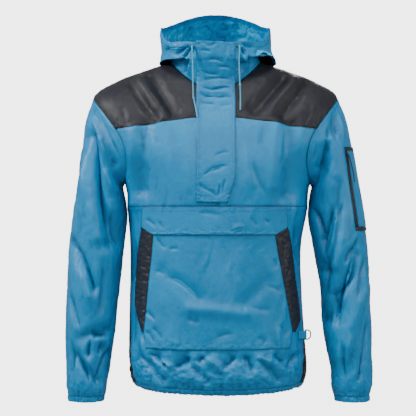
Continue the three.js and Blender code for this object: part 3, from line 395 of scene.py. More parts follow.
PLACKET_CREASES = folds(
    (-36, 26, -6, 22, 2.6, -0.72, 2, 0.3),
    (-24, 36, 2, 40, 2.4, -0.66, -2, 0.3),
    (-20, 8, 22, -2, 2.8, -1.08, 4, 0.5),
    (-30, -16, 12, -22, 2.6, -0.84, -3, 0.4),
    (2, -8, 34, -12, 2.6, -0.78, 3, 0.3),
    (-34, -38, 36, -34, 2.6, -0.9, 5, 0.4),
    (-38, -48, 26, -52, 2.4, -0.96, -4, 0.4),
    (-20, -58, 38, -50, 2.4, -0.9, 4, -0.4),
    (-38, -64, 10, -68, 2.4, -0.96, -3, 0.4),
    (-10, -76, 38, -70, 2.4, -0.9, 3, 0.4),
    (-38, -80, 4, -84, 2.2, -0.72, -2, 0.4),
    (4, -92, 36, -86, 2.4, -0.66, 2, 0.3),
    (-30, -238, 30, -214, 2.8, -1.2, 5, 0.5),
    (-16, -222, 20, -218, 2.4, -0.72, -3, 0.4),
    (-36, -250, -14, -264, 2.6, -0.96, -3, 0.4),
    (-24, -262, 4, -282, 2.6, -0.84, 3, 0.4),
    (8, -248, 4, -280, 2.6, -0.78, 1, 0.3),
    (20, -238, 14, -276, 2.6, -0.78, -2, 0.3),
    (-6, -196, 30, -186, 2.6, -0.6, 3, 0.3),
)
SLEEVE_FRONT_FOLDS = {
    "left": folds(
        (252, -96, 216, -214, 11, -5),
        (268, -250, 232, -430, 13, -7),
        (288, -270, 250, -420, 14, 5),
        (300, -400, 236, -535, 13, -6),
        (312, -470, 262, -610, 14, 4),
        (258, -88, 277, -172, 4, 2.4, -3),
        (246, -92, 264, -190, 5, -3, -5, 0.4),
        (210, -158, 202, -206, 4, -3.4, 2, 0.4),
        (236, -120, 206, -262, 6, -3.6, 8, 0.4),
        (254, -284, 228, -420, 5, 3, 6),
        (272, -258, 256, -324, 5, -3, 4, 0.4),
        (202, -290, 226, -412, 6, -4.2, 6, 0.5),
        (226, -412, 230, -498, 5, -3.2, 3, 0.4),
        (244, -288, 214, -380, 6, -3, 6, 0.4),
        (302, -330, 284, -400, 7, -3.4, 5, 0.5),
        (298, -380, 270, -420, 6, -3.6, -6, 0.5),
        (298, -396, 226, -488, 5, -3.6, 24, 0.5),
        (318, -390, 290, -500, 7, -2.8, 5, 0.4),
        (276, -430, 262, -516, 7, 2.6, 4),
        (298, -396, 246, -566, 5, -3.4, -10, 0.5),
        (244, -470, 256, -560, 7, -2.6, 3, 0.4),
        (320, -520, 304, -640, 6, -2.6, 4, 0.4),
        (286, -560, 274, -660, 6, 2.4, -3),
        (262, -570, 270, -668, 6, -2.6, 3, 0.4),
        (310, -600, 296, -676, 5, -2.4, 2, 0.4),
    ),
    "right": folds(
        (-254, -98, -212, -208, 11, -5),
        (-266, -150, -222, -372, 14, -8),
        (-282, -200, -246, -360, 15, 5),
        (-306, -370, -258, -468, 12, -6),
        (-232, -556, -282, -572, 12, -5),
        (-292, -612, -248, -664, 10, -5),
        (-268, -96, -198, -412, 7, -4.4, -14, 0.45),
        (-250, -92, -189, -219, 5, -3.4, 0, 0.4),
        (-231, -122, -188, -184, 3.6, -2.6, 0, 0.3),
        (-261, -100, -224, -200, 4, 1.8, -4),
        (-275, -196, -294, -360, 6, 2.4, 5),
        (-284, -160, -302, -300, 5, -2, 4, 0.4),
        (-234, -210, -206, -276, 8, 2.2, -6),
        (-216, -300, -200, -392, 6, -3, -4, 0.4),
        (-307, -375, -250, -495, 4.6, -3.6, 9, 0.5),
        (-288, -420, -262, -510, 8, 2, 5),
        (-307, -474, -284, -560, 4.6, -2.8, -6, 0.5),
        (-236, -400, -246, -540, 7, -2.2, 3, 0.4),
        (-266, -564, -221, -571, 4, -4, -4, 0.6),
        (-262, -574, -268, -622, 5, -2.8, -3, 0.5),
        (-240, -580, -246, -612, 7, -2.6, 2, 0.3),
        (-296, -613, -262, -672, 4, -3, 4, 0.5),
        (-284, -604, -252, -660, 4, 1.8, 3),
        (-221, -592, -250, -672, 4.4, -3, -4, 0.4),
        (-306, -570, -304, -664, 5, -2, 3, 0.4),
    ),
}
SLEEVE_BACK_FOLDS = {
    "left": folds(
        (254, -110, 214, -226, 13, -6),
        (310, -430, 236, -478, 12, -6),
        (250, -520, 306, -610, 13, -5),
        (270, -150, 246, -260, 8, -3, 5, 0.4),
        (294, -260, 262, -360, 8, -3, 6, 0.4),
        (312, -360, 244, -402, 7, -3.4, -8, 0.4),
        (300, -450, 250, -512, 7, 3, 6),
        (316, -540, 280, -640, 7, -2.8, 5, 0.4),
        (262, -590, 280, -670, 7, -2.8, 3, 0.4),
    ),
    "right": folds(
        (-252, -112, -212, -230, 13, -6),
        (-300, -426, -222, -470, 12, -6),
        (-238, -524, -300, -604, 13, -5),
        (-266, -150, -240, -262, 8, -3, -5, 0.4),
        (-288, -260, -254, -356, 8, -3, -6, 0.4),
        (-304, -352, -236, -396, 7, -3.4, 8, 0.4),
        (-290, -448, -236, -508, 7, 3, -6),
        (-306, -540, -270, -640, 7, -2.8, -5, 0.4),
        (-250, -590, -268, -668, 7, -2.8, 3, 0.4),
    ),
}
HOOD_FOLDS = folds(
    # On the front of the neck and hood, fanning out from each eyelet
    (-50, 40, -78, 8, 4, -2.4, 3, 0.4),
    (-54, 42, -92, 20, 4, -2.2, 3, 0.4),
    (-48, 38, -62, -6, 4, -2.2, 2, 0.4),
    (-52, 30, -58, -28, 3.5, 1.8, 1),
    (-70, 12, -66, -24, 4, -2, 2, 0.3),
    (52, 42, 84, 36, 4, -2.2, -2, 0.4),
    (50, 36, 62, 8, 3, -2, 2, 0.4),
    (47, 34, 50, -20, 3, -2, 2, 0.3),
    (56, 26, 66, -14, 3, 1.8, 2),
    (66, 20, 72, -8, 3.5, -1.8, 2, 0.3),
    (80, 30, 112, 16, 5, -2, -3, 0.3),
    (-96, 40, -116, 26, 5, -1.8, 2, 0.3),
)


# Noise and curves


def smooth(start: float, end: float, value: Array) -> Array:
    """A soft step from 0 at start to 1 at end."""
    t = np.clip((np.asarray(value, float) - start) / (end - start), 0, 1)
    return t * t * (3 - 2 * t)


def mix(a: Array, b: Array, t: Array) -> Array:
    """A value between a and b."""
    return a + (b - a) * t


def unit(vectors: Array) -> Array:
    """The same vectors at a length of 1."""
    return vectors / np.maximum(np.linalg.norm(vectors, axis=-1, keepdims=True), 1e-12)


def full_turn(count: int) -> Array:
    """Evenly spaced turns all the way round."""
    return np.linspace(0, FULL, count, endpoint=False)


def noise(points: Array, seed: int) -> Array:
    """Smooth random values between about -1 and 1 at points in space.

    Args:
        points: One row of three coordinates for each value.
        seed: Chooses the pattern.

    Returns:
        One value for each row.
    """
    rng = np.random.default_rng(seed)
    slopes = rng.normal(size=(256, 3))
    slopes /= np.linalg.norm(slopes, axis=1, keepdims=True)
    order = rng.permutation(256)
    cell = np.floor(points).astype(np.int64)
    inside = points - cell
    fade = inside**3 * (inside * (inside * 6 - 15) + 10)
    total = np.zeros(len(points))
    for corner in np.ndindex(2, 2, 2):
        step = np.array(corner)
        key = cell + step
        spot = order[(order[(order[key[:, 0] & 255] + key[:, 1]) & 255] + key[:, 2]) & 255]
        share = np.prod(np.where(step, fade, 1 - fade), axis=1)
        total += share * np.einsum("ij,ij->i", slopes[spot], inside - step)
    return 1.6 * total


def crumple(points: Array, size: float, seed: int) -> Array:
    """Creased cloth between about -1 and 1: soft hollows that meet in sharper ridges.

    Args:
        points: One row of three coordinates for each value.
        size: How far apart the hollows are.
        seed: Chooses the pattern.

    Returns:
        One value for each row.
    """
    broad = noise(points / size, seed)
    fine = noise(points / (0.45 * size) + 7.3, seed + 1)
    return 0.62 * broad + 0.75 * (0.28 - np.abs(fine)) + 0.35 * (0.25 - np.abs(broad))


def fold_rise(folds: tuple[Fold, ...], x: Array, z: Array) -> Array:
    """How far the folds lift the cloth at places seen from the front.

    Args:
        folds: The troughs and ridges.
        x: Each place's distance from the middle.
        z: Each place's height.

    Returns:
        The rise at each place, which is below 0 in a trough.
    """
    rise = np.zeros(np.shape(x))
    for fold in folds:
        ends = np.array([[fold.x0, fold.z0], [fold.x1, fold.z1]])
        along = ends[1] - ends[0]
        side = np.array([-along[1], along[0]]) / np.linalg.norm(along)
        reach = 3.2 * fold.wide + abs(fold.bow)
        low, high = ends.min(0) - reach, ends.max(0) + reach
        near = (x > low[0]) & (x < high[0]) & (z > low[1]) & (z < high[1])
        if not near.any():
            continue
        away = np.stack([x[near] - fold.x0, z[near] - fold.z0], axis=1)
        t = np.clip(away @ along / (along @ along), 0, 1)
        middle = t[:, None] * along + (4 * fold.bow * t * (1 - t))[:, None] * side
        gap = away - middle
        lean = np.sign(gap @ side) * fold.lean
        distance = np.linalg.norm(gap, axis=1) / (fold.wide * (1 + lean))
        fade = smooth(0, 0.35, t) * smooth(0, 0.35, 1 - t)
        if fold.wide < CREASE_WIDE:
            rise[near] += CREASE_GAIN * fold.rise * fade * np.exp(-(distance**1.15))
        else:
            rise[near] += FOLD_GAIN * fold.rise * np.exp(-(distance**2))
    return rise


def spline(stations: Array, place: Array) -> Array:
    """Points on curves through the stations, with the ends carried on straight.

    Args:
        stations: Points in the order station, curve, coordinate.
        place: For each curve, where to look along the stations.

    Returns:
        One point for each curve.
    """
    last = len(stations) - 1
    k = np.clip(np.floor(place).astype(int), 0, last - 1)
    n = np.arange(len(place))
    t = (place - k)[:, None]
    b, c = stations[k, n], stations[k + 1, n]
    a = np.where((k > 0)[:, None], stations[np.maximum(k - 1, 0), n], 2 * b - c)
    d = np.where((k + 2 <= last)[:, None], stations[np.minimum(k + 2, last), n], 2 * c - b)
    return b + 0.5 * t * (c - a + t * (2 * a - 5 * b + 4 * c - d + t * (3 * (b - c) + d - a)))


def curve_through(points: list[tuple[float, float, float]], steps: int) -> Array:
    """Evenly numbered points on a smooth curve through a route."""
    stations = np.repeat(np.array(points, float)[:, None, :], steps + 1, axis=1)
    return spline(stations, np.linspace(0, len(points) - 1, steps + 1))


def solve(value: Callable[[Array], Array], wanted: Array, low: Array, high: Array) -> Array:
    """Where a rising value meets the wanted one.

    Args:
        value: A function that rises from low to high.
        wanted: What it has to reach, for each place.
        low: Where the search starts.
        high: Where the search ends.

    Returns:
        The places.
    """
    low = np.full(np.shape(wanted), 1.0) * low
    high = np.full(np.shape(wanted), 1.0) * high
    for _ in range(24):
        middle = 0.5 * (low + high)
        under = value(middle) < wanted
        low, high = np.where(under, middle, low), np.where(under, high, middle)
    return 0.5 * (low + high)


# Surfaces


def power(base: Array, square: float) -> Array:
    """The base to the power 2 / square, with its sign."""
    return np.sign(base) * np.abs(base) ** (2 / square)


class Surface:
    """A surface over a turn and a place along its rings, with relief on it."""

    sign = 1.0

    def base(self, turn: Array, place: Array) -> Array:
        """Points of the plain surface."""
        raise NotImplementedError

    def relief(self, turn: Array, place: Array, points: Array) -> Array:
        """How far the folds lift each point."""
        return np.zeros(len(points))

    def normal(self, turn: Array, place: Array) -> Array:
        """Unit vectors out of the plain surface."""
        step = 1e-3
        along = self.base(turn + step, place) - self.base(turn - step, place)
        up = self.base(turn, place + step) - self.base(turn, place - step)
        return unit(self.sign * np.cross(along, up))

    def at(self, turn: Array, place: Array) -> tuple[Array, Array]:
        """Points with their relief, and the normals they were moved along."""
        points, normals = self.base(turn, place), self.normal(turn, place)
        rise = self.relief(turn, place, points)
        return points + normals * rise[:, None], normals


class BodySurface(Surface):
    """The body, from the hem to the neck seam."""

    def base(self, turn: Array, place: Array) -> Array:
        """Points of the plain surface."""
        ahead, across = np.cos(turn), np.sin(turn)
        rings = []
        for row in BODY_ROWS:
            z = row.side + (np.where(ahead > 0, row.front, row.back) - row.side) * ahead**2
            deep = np.where(ahead > 0, row.fore, row.aft)
            x = row.x + row.wide * power(across, row.square)
            rings.append(np.stack([x, -deep * power(ahead, row.square), z], axis=1))
        return spline(np.array(rings), place)

    def relief(self, turn: Array, place: Array, points: Array) -> Array:
        """Folds, gathers above the elastic and below the seams, and a light crumple."""
        x, z = points[:, 0], points[:, 2]
        ahead = np.cos(turn)
        blend = smooth(0.08, 0.4, np.abs(ahead))
        front, back = fold_rise(FRONT_FOLDS, x, z), fold_rise(BACK_FOLDS, x, z)
        rise = np.where(ahead > 0, front, back) * blend
        hem = BODY_ROWS[1].side + (BODY_ROWS[1].front - BODY_ROWS[1].side) * ahead**2
        up = np.maximum(z - hem, 0)
        around = np.stack([turn * 168, up, np.zeros_like(up)], axis=1)
        gathers = noise(around / (9, 46, 1), 11) + 0.6 * noise(around / (5, 20, 1), 12)
        rise = rise + 2.3 * gathers * np.exp(-up / 26) * smooth(0, 6, up)
        drag = np.stack([turn * 168 + 0.35 * up, up, np.zeros_like(up)], axis=1)
        rise += 3.0 * crumple(drag, 26, 13) * np.exp(-((up - 34) ** 2) / 1400)
        below = smooth(-585, -610, z) * (ahead > 0)
        low = 0.7 + 2.2 * below - 0.2 * smooth(-130, -100, z)
        rise += low * crumple(points * (1, 1, 0.5), 34, 14)
        rise += (0.35 + 0.5 * below) * crumple(points, 10, 15) + 1.5 * below * crumple(points, 17, 18)
        waist = np.abs(z - WAIST_SEAM)
        rise += 1.6 * noise(around / (7, 30, 1), 16) * np.exp(-waist / 12) * (ahead > 0)
        yoke = np.abs(z - np.where(ahead > 0, YOKE_FRONT[0] - 12, YOKE_BACK[0] - 4))
        return rise + 1.3 * noise(around / (8, 40, 1), 17) * np.exp(-yoke / 16)


def armhole_edge(around: Array, side: int) -> tuple[Array, Array]:
    """The armhole's edge on the body: 0 at the shoulder tip, a quarter turn at the front."""
    ahead = np.sin(around)
    cut = np.where(ahead > 0, ARM_FRONT_CUT, ARM_BACK_CUT)
    return side * (QUARTER - cut * ahead), ARM_MIDDLE + np.cos(around)


class SleeveSurface(Surface):
    """A sleeve, from the armhole to the cuff."""

    def __init__(self, body: BodySurface, side: int) -> None:
        """Joins the sleeve to the body's armhole on one side."""
        self.body = body
        self.side = side
        self.sign = float(side)
        self.key = "left" if side > 0 else "right"

    def base(self, turn: Array, place: Array) -> Array:
        """Points of the plain surface."""
        rings = [self.body.base(*armhole_edge(turn, self.side))]
        across, ahead = 0.5 * (1 + np.cos(turn)), np.sin(turn)
        for row in SLEEVE_ROWS:
            ends = (row.in_left, row.out_left) if self.side > 0 else (row.in_right, row.out_right)
            x = self.side * mix(ends[0], ends[1], across)
            z = mix(row.z_in, row.z_out, across)
            rings.append(np.stack([x, row.y - row.deep * ahead, z], axis=1))
        return spline(np.array(rings), place)

    def pocket_calm(self, turn: Array, z: Array) -> Array:
        """0 under the arm pocket and 1 away from it."""
        if self.side < 0:
            return np.ones_like(z)
        wrapped = np.arctan2(np.sin(turn), np.cos(turn))
        beside = np.maximum(wrapped - ARM_POCKET_FRONT, ARM_POCKET_BACK - wrapped) - 0.15
        beyond = np.maximum(z - ARM_POCKET_TOP, ARM_POCKET_BOTTOM - z) - 6
        return np.maximum(smooth(0, 0.5, beside), smooth(0, 30, beyond))

    def relief(self, turn: Array, place: Array, points: Array) -> Array:
        """Drag folds, gathers at the cap and above the cuff, and a light crumple."""
        x, z = points[:, 0], points[:, 2]
        ahead = np.sin(turn)
        front = fold_rise(SLEEVE_FRONT_FOLDS[self.key], x, z)
        back = fold_rise(SLEEVE_BACK_FOLDS[self.key], x, z)
        rise = np.where(ahead > 0, front, back) * smooth(0.05, 0.4, np.abs(ahead))
        up = np.maximum(z + 698, 0)
        ring = np.stack([np.cos(turn) * 9, np.sin(turn) * 9, up / 40], axis=1)
        gathers = noise(ring * (0.9, 0.9, 1), 31) + 0.5 * noise(ring * (1.8, 1.8, 2), 32)
        rise += 2.0 * gathers * np.exp(-up / 24)
        rise += 2.4 * crumple(points * (1, 1, 0.4), 26, 33 + self.side)
        rise += 2.4 * crumple(points * (1, 1, 0.6), 20, 37) * np.exp(-up / 90)
        rise += 0.6 * crumple(points * (1, 1, 0.7), 14, 38)
        rise += 0.35 * crumple(points, 9, 35)
        cap = np.maximum(place, 0)
        rise += 1.8 * noise(ring * (0.7, 0.7, 0) + (0, 0, 3), 36) * np.exp(-cap / 0.5) * smooth(0, 0.15, cap)
        return rise * smooth(0, 0.8, place) * self.pocket_calm(turn, z)


@dataclass
class HoodSurface(Surface):
    """The neck and hood, from the body's neck seam to the edge of the opening."""

    body: BodySurface

    def base(self, turn: Array, place: Array) -> Array:
        """Points of the plain surface."""
        rings = [self.body.base(turn, np.full(np.shape(turn), BODY["neck"]))]
        ahead, across = np.cos(turn), np.sin(turn)
        away = np.abs(np.arctan2(across, ahead))
        for row in HOOD_ROWS:
            corner = mix(row.right, row.left, smooth(-0.4, 0.4, across))
            bend = math.radians(row.corner)
            near = mix(row.front, corner, smooth(0.25 * bend, bend, away))
            middle = mix(corner, row.side, smooth(bend, HOOD_SIDE, away))
            far = mix(row.side, row.back, smooth(HOOD_SIDE, math.pi, away))
            z = np.where(away < bend, near, np.where(away < HOOD_SIDE, middle, far))
            deep = np.where(ahead > 0, row.fore, row.aft)
            x = row.x + row.wide * power(across, HOOD_SQUARE)
            rings.append(np.stack([x, -deep * power(ahead, HOOD_SQUARE), z], axis=1))
        return spline(np.array(rings), place)

    def relief(self, turn: Array, place: Array, points: Array) -> Array:
        """Folds round the eyelets and a loose crumple that dies away at both seams."""
        ahead = np.cos(turn)
        rise = fold_rise(HOOD_FOLDS, points[:, 0], points[:, 2]) * smooth(0.3, 0.6, ahead)
        loose = smooth(0, 1.2, place) * (1 - 0.6 * smooth(6.2, 7, place))
        behind = smooth(0.2, -0.5, ahead)
        rise += loose * (1.8 + 3.0 * behind) * crumple(points, 30, 51)
        rise += loose * 0.8 * crumple(points, 14, 53)
        return rise + 0.15 * crumple(points, 6, 55)


@dataclass
class FrontSurface(Surface):
    """What lies on the front of body and hood, laid out by x and height as seen from the front."""

    body: BodySurface
    hood: HoodSurface

    @staticmethod
    def spots(
        under: Surface, x: Array, z: Array, turns: float, low: float, high: float
    ) -> tuple[Array, Array]:
        """Where points seen from the front lie on the surface underneath.

        Args:
            under: The surface.
            x: Each point's distance from the middle.
            z: Each point's height.
            turns: The furthest turn to either side.
            low: The lowest level on the surface.
            high: The highest level.

        Returns:
            The turn and place of each point.
        """
        x, z = np.asarray(x, float), np.asarray(z, float)
        turn, place = np.zeros_like(x), np.full_like(x, 0.5 * (low + high))
        for _ in range(5):
            now = place
            turn = solve(lambda t, now=now: under.base(t, now)[:, 0], x, -turns, turns)
            still = turn
            place = solve(lambda p, still=still: under.base(still, p)[:, 2], z, low, high)
        return turn, place


class PlacketSurface(FrontSurface):
    """The storm flap down the middle of the neck and chest."""

    def base(self, turn: Array, place: Array) -> Array:
        """Points of the flap's plain surface, where turn is x and place is the height."""
        x, z = np.asarray(turn, float), np.asarray(place, float)
        points = self.lie(x, z)
        near = np.abs(z - BODY_ROWS[-1].front) < 60
        for shift in (-16, -8, 8, 16):
            points[near, 1] += self.lie(x[near], z[near] + shift)[:, 1]
        points[near, 1] /= 5
        away = (z - BODY_ROWS[-1].front) / PLACKET_NECK[1]
        points[:, 1] -= PLACKET_LIFT + PLACKET_NECK[0] * np.exp(-(away**2))
        return points

    def lie(self, x: Array, z: Array) -> Array:
        """Points on the body below the neck seam and on the hood above it."""
        ring = np.full_like(x, BODY["neck"])
        turn = solve(lambda t: self.body.base(t, ring)[:, 0], x, -QUARTER, QUARTER)
        low = z < self.body.base(turn, ring)[:, 2]
        points = np.zeros((len(x), 3))
        if low.any():
            spots = self.spots(self.body, x[low], z[low], QUARTER, BODY["waist"], BODY["neck"])
            points[low] = self.body.base(*spots)
        if (~low).any():
            spots = self.spots(self.hood, x[~low], z[~low], 1.0, 0.0, HOOD["edge"] + 0.6)
            points[~low] = self.hood.base(*spots)
        return points

    def at(self, turn: Array, place: Array) -> tuple[Array, Array]:
        """Points with creases across the flap, moved out straight ahead."""
        points = self.base(turn, place)
        x, z = points[:, 0], points[:, 2]
        rise = fold_rise(PLACKET_CREASES, x, z)
        cross = np.stack([x / 34, z / 5.5, np.zeros_like(x)], axis=1)
        busy = np.exp(-(((z + 60) / 34) ** 2)) + 0.5 * smooth(-30, 10, z) + 0.35 * smooth(-180, -260, z)
        rise += 1.2 * busy * crumple(cross, 1, 61) + 0.35 * crumple(points, 12, 62)
        rise += 0.7 * crumple(points * (1, 1, 0.4), 24, 63)
        normals = np.tile((0.0, -1.0, 0.0), (len(points), 1))
        return points + normals * rise[:, None], normals


@dataclass
class PocketSurface(FrontSurface):
    """The pouch pocket and its flap: how far a layer stands above the pocket, and its own creases."""

    layer: float
    creases: tuple[Fold, ...]

    def at(self, turn: Array, place: Array) -> tuple[Array, Array]:
        """Points where turn is x and place is the height, with the body's normals."""
        x, z = np.asarray(turn, float), np.asarray(place, float)
        spots = self.spots(self.body, x, z, QUARTER, BODY["hem"], BODY["neck"])
        points, normals = self.body.base(*spots), self.body.normal(*spots)
        across = np.cos(QUARTER * np.minimum(np.abs(x) / 170, 1))
        up = np.sin(np.pi * (z - POCKET_BOTTOM) / (POCKET_TOP - POCKET_BOTTOM))
        full = across * np.maximum(up, 0)
        rise = POCKET_LIFT + self.layer + full * (POCKET_BELLY + fold_rise(POCKET_FOLDS, x, z))
        rise += fold_rise(self.creases, x, z)
        seam = np.stack([x / 7, z / 26, np.zeros_like(x)], axis=1)
        above = z - POCKET_BOTTOM
        rise += 2.4 * noise(seam, 71) * np.exp(-np.abs(above) / 13) * smooth(0, 5, above)
        rise += (0.5 if self.layer else 0.7) * crumple(points * (1, 1, 0.6), 40, 73)
        rise += 0.3 * crumple(points, 10, 75)
        return points + normals * rise[:, None], normals


class TrimSurface(PocketSurface):
    """The pocket's stiffer side trims, which are crinkled across."""

    def at(self, turn: Array, place: Array) -> tuple[Array, Array]:
        """Points of a trim, with short crinkles."""
        points, normals = super().at(turn, place)
        cross = np.stack([turn / 12, place / 5, np.zeros_like(turn)], axis=1)
        rise = 1.7 * crumple(cross, 1, 81) + 0.8 * crumple(points, 7, 82)
        return points + normals * rise[:, None], normals


@dataclass
class ArmPocketSurface(Surface):
    """The pocket on the wearer's left sleeve, laid out by turn and height."""

    sleeve: SleeveSurface

    def at(self, turn: Array, place: Array) -> tuple[Array, Array]:
        """Points where place is the height."""
        turn, z = np.asarray(turn, float), np.asarray(place, float)
        level = solve(lambda p: -self.sleeve.base(turn, p)[:, 2], -z, 0.3, SLEEVE["cuff"])
        points, normals = self.sleeve.base(turn, level), self.sleeve.normal(turn, level)
        rise = 0.4 * crumple(points * (1, 1, 0.6), 18, 91) + 0.15 * crumple(points, 7, 92)
        return points + normals * rise[:, None], normals


# Finishes


class Side(Enum):
    """The wearer's left or right."""

    LEFT = 1
    RIGHT = -1

    @property
    def word(self) -> str:
        """The side's name in lower case."""
        return self.name.lower()


def new_material(name: str) -> tuple[bpy.types.Material, bpy.types.NodeTree, bpy.types.Node]:
    """A material with an empty tree but for its shader and output."""
    material = bpy.data.materials.new(name)
    material.use_nodes = True
    tree = material.node_tree
    return material, tree, tree.nodes["Principled BSDF"]


def feed(tree: bpy.types.NodeTree, node: bpy.types.Node, inputs: dict[str | int, object]) -> None:
    """Gives a node's inputs their plain values, or links them to the outputs given."""
    for key, value in inputs.items():
        if isinstance(value, bpy.types.NodeSocket):
            tree.links.new(value, node.inputs[key])
        else:
            node.inputs[key].default_value = value


def add_node(
    tree: bpy.types.NodeTree, kind: str, inputs: dict[str | int, object] | None = None, **settings: object
) -> bpy.types.Node:
    """Adds a node to a tree.

    Args:
        tree: The tree it joins.
        kind: The node's type.
        inputs: A plain value or an output to link, for each input's name or number.
        settings: The node's other properties.

    Returns:
        The new node.
    """
    node = tree.nodes.new(kind)
    for name, value in settings.items():
        setattr(node, name, value)
    feed(tree, node, inputs or {})
    return node


@dataclass(frozen=True)
class ClothFinish:
    """Thin plain-woven nylon with a satin sheen that lets a little light through."""

    name: str
    color: tuple[float, float, float]
    deep: tuple[float, float, float]
    roughness: float = 0.4
    crinkle: float = 0.28
    through: float = 0.12
    shine: float = 0.45

    def make(self) -> bpy.types.Material:
        """Builds the node tree.

        Returns:
            The material.
        """
        material, tree, shader = new_material(self.name)
        place = add_node(tree, "ShaderNodeTexCoord")
        spot = place.outputs["Object"]
        broad = add_node(tree, "ShaderNodeTexNoise", {"Vector": spot, "Scale": 14, "Detail": 6})
        values = {"Value": broad.outputs["Fac"], "From Min": 0.3, "From Max": 0.7}
        ramp = add_node(tree, "ShaderNodeMapRange", values)
        values = {"Factor": ramp.outputs["Result"], 6: (*self.deep, 1), 7: (*self.color, 1)}
        tint = add_node(tree, "ShaderNodeMix", values, data_type="RGBA")
        # Painted shade: the colour is mixed towards a much darker copy of the deep colour in creases and
        # along sewn edges, by the value each panel stores
        crease = add_node(tree, "ShaderNodeAttribute", attribute_name="PaintedShade")
        values = {"Value": crease.outputs["Fac"], "From Min": 0.5, "To Max": 0.6}
        shade = add_node(tree, "ShaderNodeMapRange", values)
        painted_shade_colour = (*(0.4 * c for c in self.deep), 1)
        values = {"Factor": shade.outputs["Result"], 6: tint.outputs[2], 7: painted_shade_colour}
        dark = add_node(tree, "ShaderNodeMix", values, data_type="RGBA")
        small = add_node(tree, "ShaderNodeTexNoise", {"Vector": spot, "Scale": 210, "Detail": 3})
        low, high = self.roughness - 0.06, self.roughness + 0.1
        values = {"Value": small.outputs["Fac"], "To Min": low, "To Max": high}
        rough = add_node(tree, "ShaderNodeMapRange", values)
        values = {
            "Base Color": dark.outputs[2],
            "Normal": self.relief(tree, place, small),
            "Roughness": rough.outputs["Result"],
            "Sheen Weight": 0.01,
            "Sheen Roughness": 0.4,
            "Specular IOR Level": self.shine,
        }
        feed(tree, shader, values)
        glow = add_node(tree, "ShaderNodeBsdfTranslucent", {"Color": (*self.color, 1)})
        values = {"Fac": self.through, 1: shader.outputs["BSDF"], 2: glow.outputs["BSDF"]}
        blend = add_node(tree, "ShaderNodeMixShader", values)
        feed(tree, tree.nodes["Material Output"], {"Surface": blend.outputs["Shader"]})
        return material

    def relief(
        self, tree: bpy.types.NodeTree, place: bpy.types.Node, small: bpy.types.Node
    ) -> bpy.types.NodeSocket:
        """Sharp wrinkles, fine unevenness and the weave, one over the other.

        Args:
            tree: The material's tree.
            place: Its coordinates.
            small: The noise of the fine unevenness.

        Returns:
            The output that holds the bumped normal.
        """
        spot = place.outputs["Object"]
        values = {"Vector": spot, "Scale": (1.25, 1.25, 0.42), "Rotation": (0.0, 0.35, 0.0)}
        longer = add_node(tree, "ShaderNodeMapping", values)
        values = {"Vector": longer.outputs["Vector"], "Scale": 24, "Detail": 4, "Distortion": 0.8}
        ridges = add_node(tree, "ShaderNodeTexNoise", values, noise_type="RIDGED_MULTIFRACTAL")
        weave = [self.wave(tree, place, axis).outputs["Fac"] for axis in ("X", "Y")]
        woven = add_node(tree, "ShaderNodeMath", dict(enumerate(weave)), operation="MULTIPLY")
        layers = (
            (ridges.outputs["Fac"], self.crinkle, 0.009),
            (small.outputs["Fac"], self.crinkle, 0.0012),
            (woven.outputs["Value"], 0.25, 0.0002),
        )
        below = {}
        for height, strength, distance in layers:
            values = {"Height": height, "Strength": strength, "Distance": distance, **below}
            bump = add_node(tree, "ShaderNodeBump", values)
            below = {"Normal": bump.outputs["Normal"]}
        return below["Normal"]

    @staticmethod
    def wave(tree: bpy.types.NodeTree, place: bpy.types.Node, axis: str) -> bpy.types.Node:
        """Threads across one axis of the piece's own layout."""
        values = {"Vector": place.outputs["UV"], "Scale": 420, "Distortion": 0.6}
        return add_node(tree, "ShaderNodeTexWave", values, bands_direction=axis)


@dataclass(frozen=True)
class PlainFinish:
    """A cord, thread, plastic or metal finish with fine unevenness."""

    name: str
    color: tuple[float, float, float]
    roughness: float
    grain: float = 400.0
    bump: float = 0.2

    def make(self) -> bpy.types.Material:
        """Builds the node tree.

        Returns:
            The material.
        """
        material, tree, shader = new_material(self.name)
        place = add_node(tree, "ShaderNodeTexCoord")
        values = {"Vector": place.outputs["Object"], "Scale": self.grain, "Detail": 4}
        grain = add_node(tree, "ShaderNodeTexNoise", values)
        darker = (*(0.72 * c for c in self.color), 1)
        values = {"Factor": grain.outputs["Fac"], 6: darker, 7: (*self.color, 1)}
        shade = add_node(tree, "ShaderNodeMix", values, data_type="RGBA")
        values = {"Height": grain.outputs["Fac"], "Strength": self.bump, "Distance": 0.0004}
        bump = add_node(tree, "ShaderNodeBump", values)
        values = {
            "Base Color": shade.outputs[2],
            "Normal": bump.outputs["Normal"],
            "Roughness": self.roughness,
        }
        feed(tree, shader, values)
        return material


class Finish(Enum):
    """Every finish on the garment."""

    BLUE = ClothFinish("BlueNylon", (0.001, 0.285, 0.6), (0.001, 0.22, 0.49), 0.42, 0.4)
    GREY = ClothFinish("GreyNylon", (0.018, 0.02, 0.027), (0.013, 0.014, 0.02), 0.46, 0.28, 0.02, 0.3)
    # The inside of the hood: blue like the outside, but painted much paler as painted light for the light
    # that reaches inside the hood
    LIT_LINING = ClothFinish("BlueNylonInsidePaintedLight", (0.003, 0.58, 0.98), (0.001, 0.25, 0.54), 0.4, 1.0)
    TRIM = ClothFinish("TrimNylon", (0.018, 0.022, 0.032), (0.012, 0.014, 0.021), 0.42, 0.5, 0.02)
    CORD = PlainFinish("DrawcordBlue", (0.09, 0.45, 0.68), 0.6, 900, 0.5)
    BLUE_THREAD = PlainFinish("BlueThread", (0.014, 0.16, 0.33), 0.55)
    GREY_THREAD = PlainFinish("GreyThread", (0.03, 0.026, 0.027), 0.55)
    BLACK = PlainFinish("BlackPlastic", (0.012, 0.013, 0.015), 0.4)
    BLACK_CORD = PlainFinish("BlackCord", (0.012, 0.012, 0.014), 0.65, 900, 0.5)
    METAL = PlainFinish("DarkWire", (0.012, 0.011, 0.01), 0.5, 300, 0.1)
    EYELET = PlainFinish("EyeletBlue", (0.03, 0.2, 0.36), 0.4)

    def get(self) -> bpy.types.Material:
        """The material, made when it is first asked for."""
        return bpy.data.materials.get(self.value.name) or self.value.make()


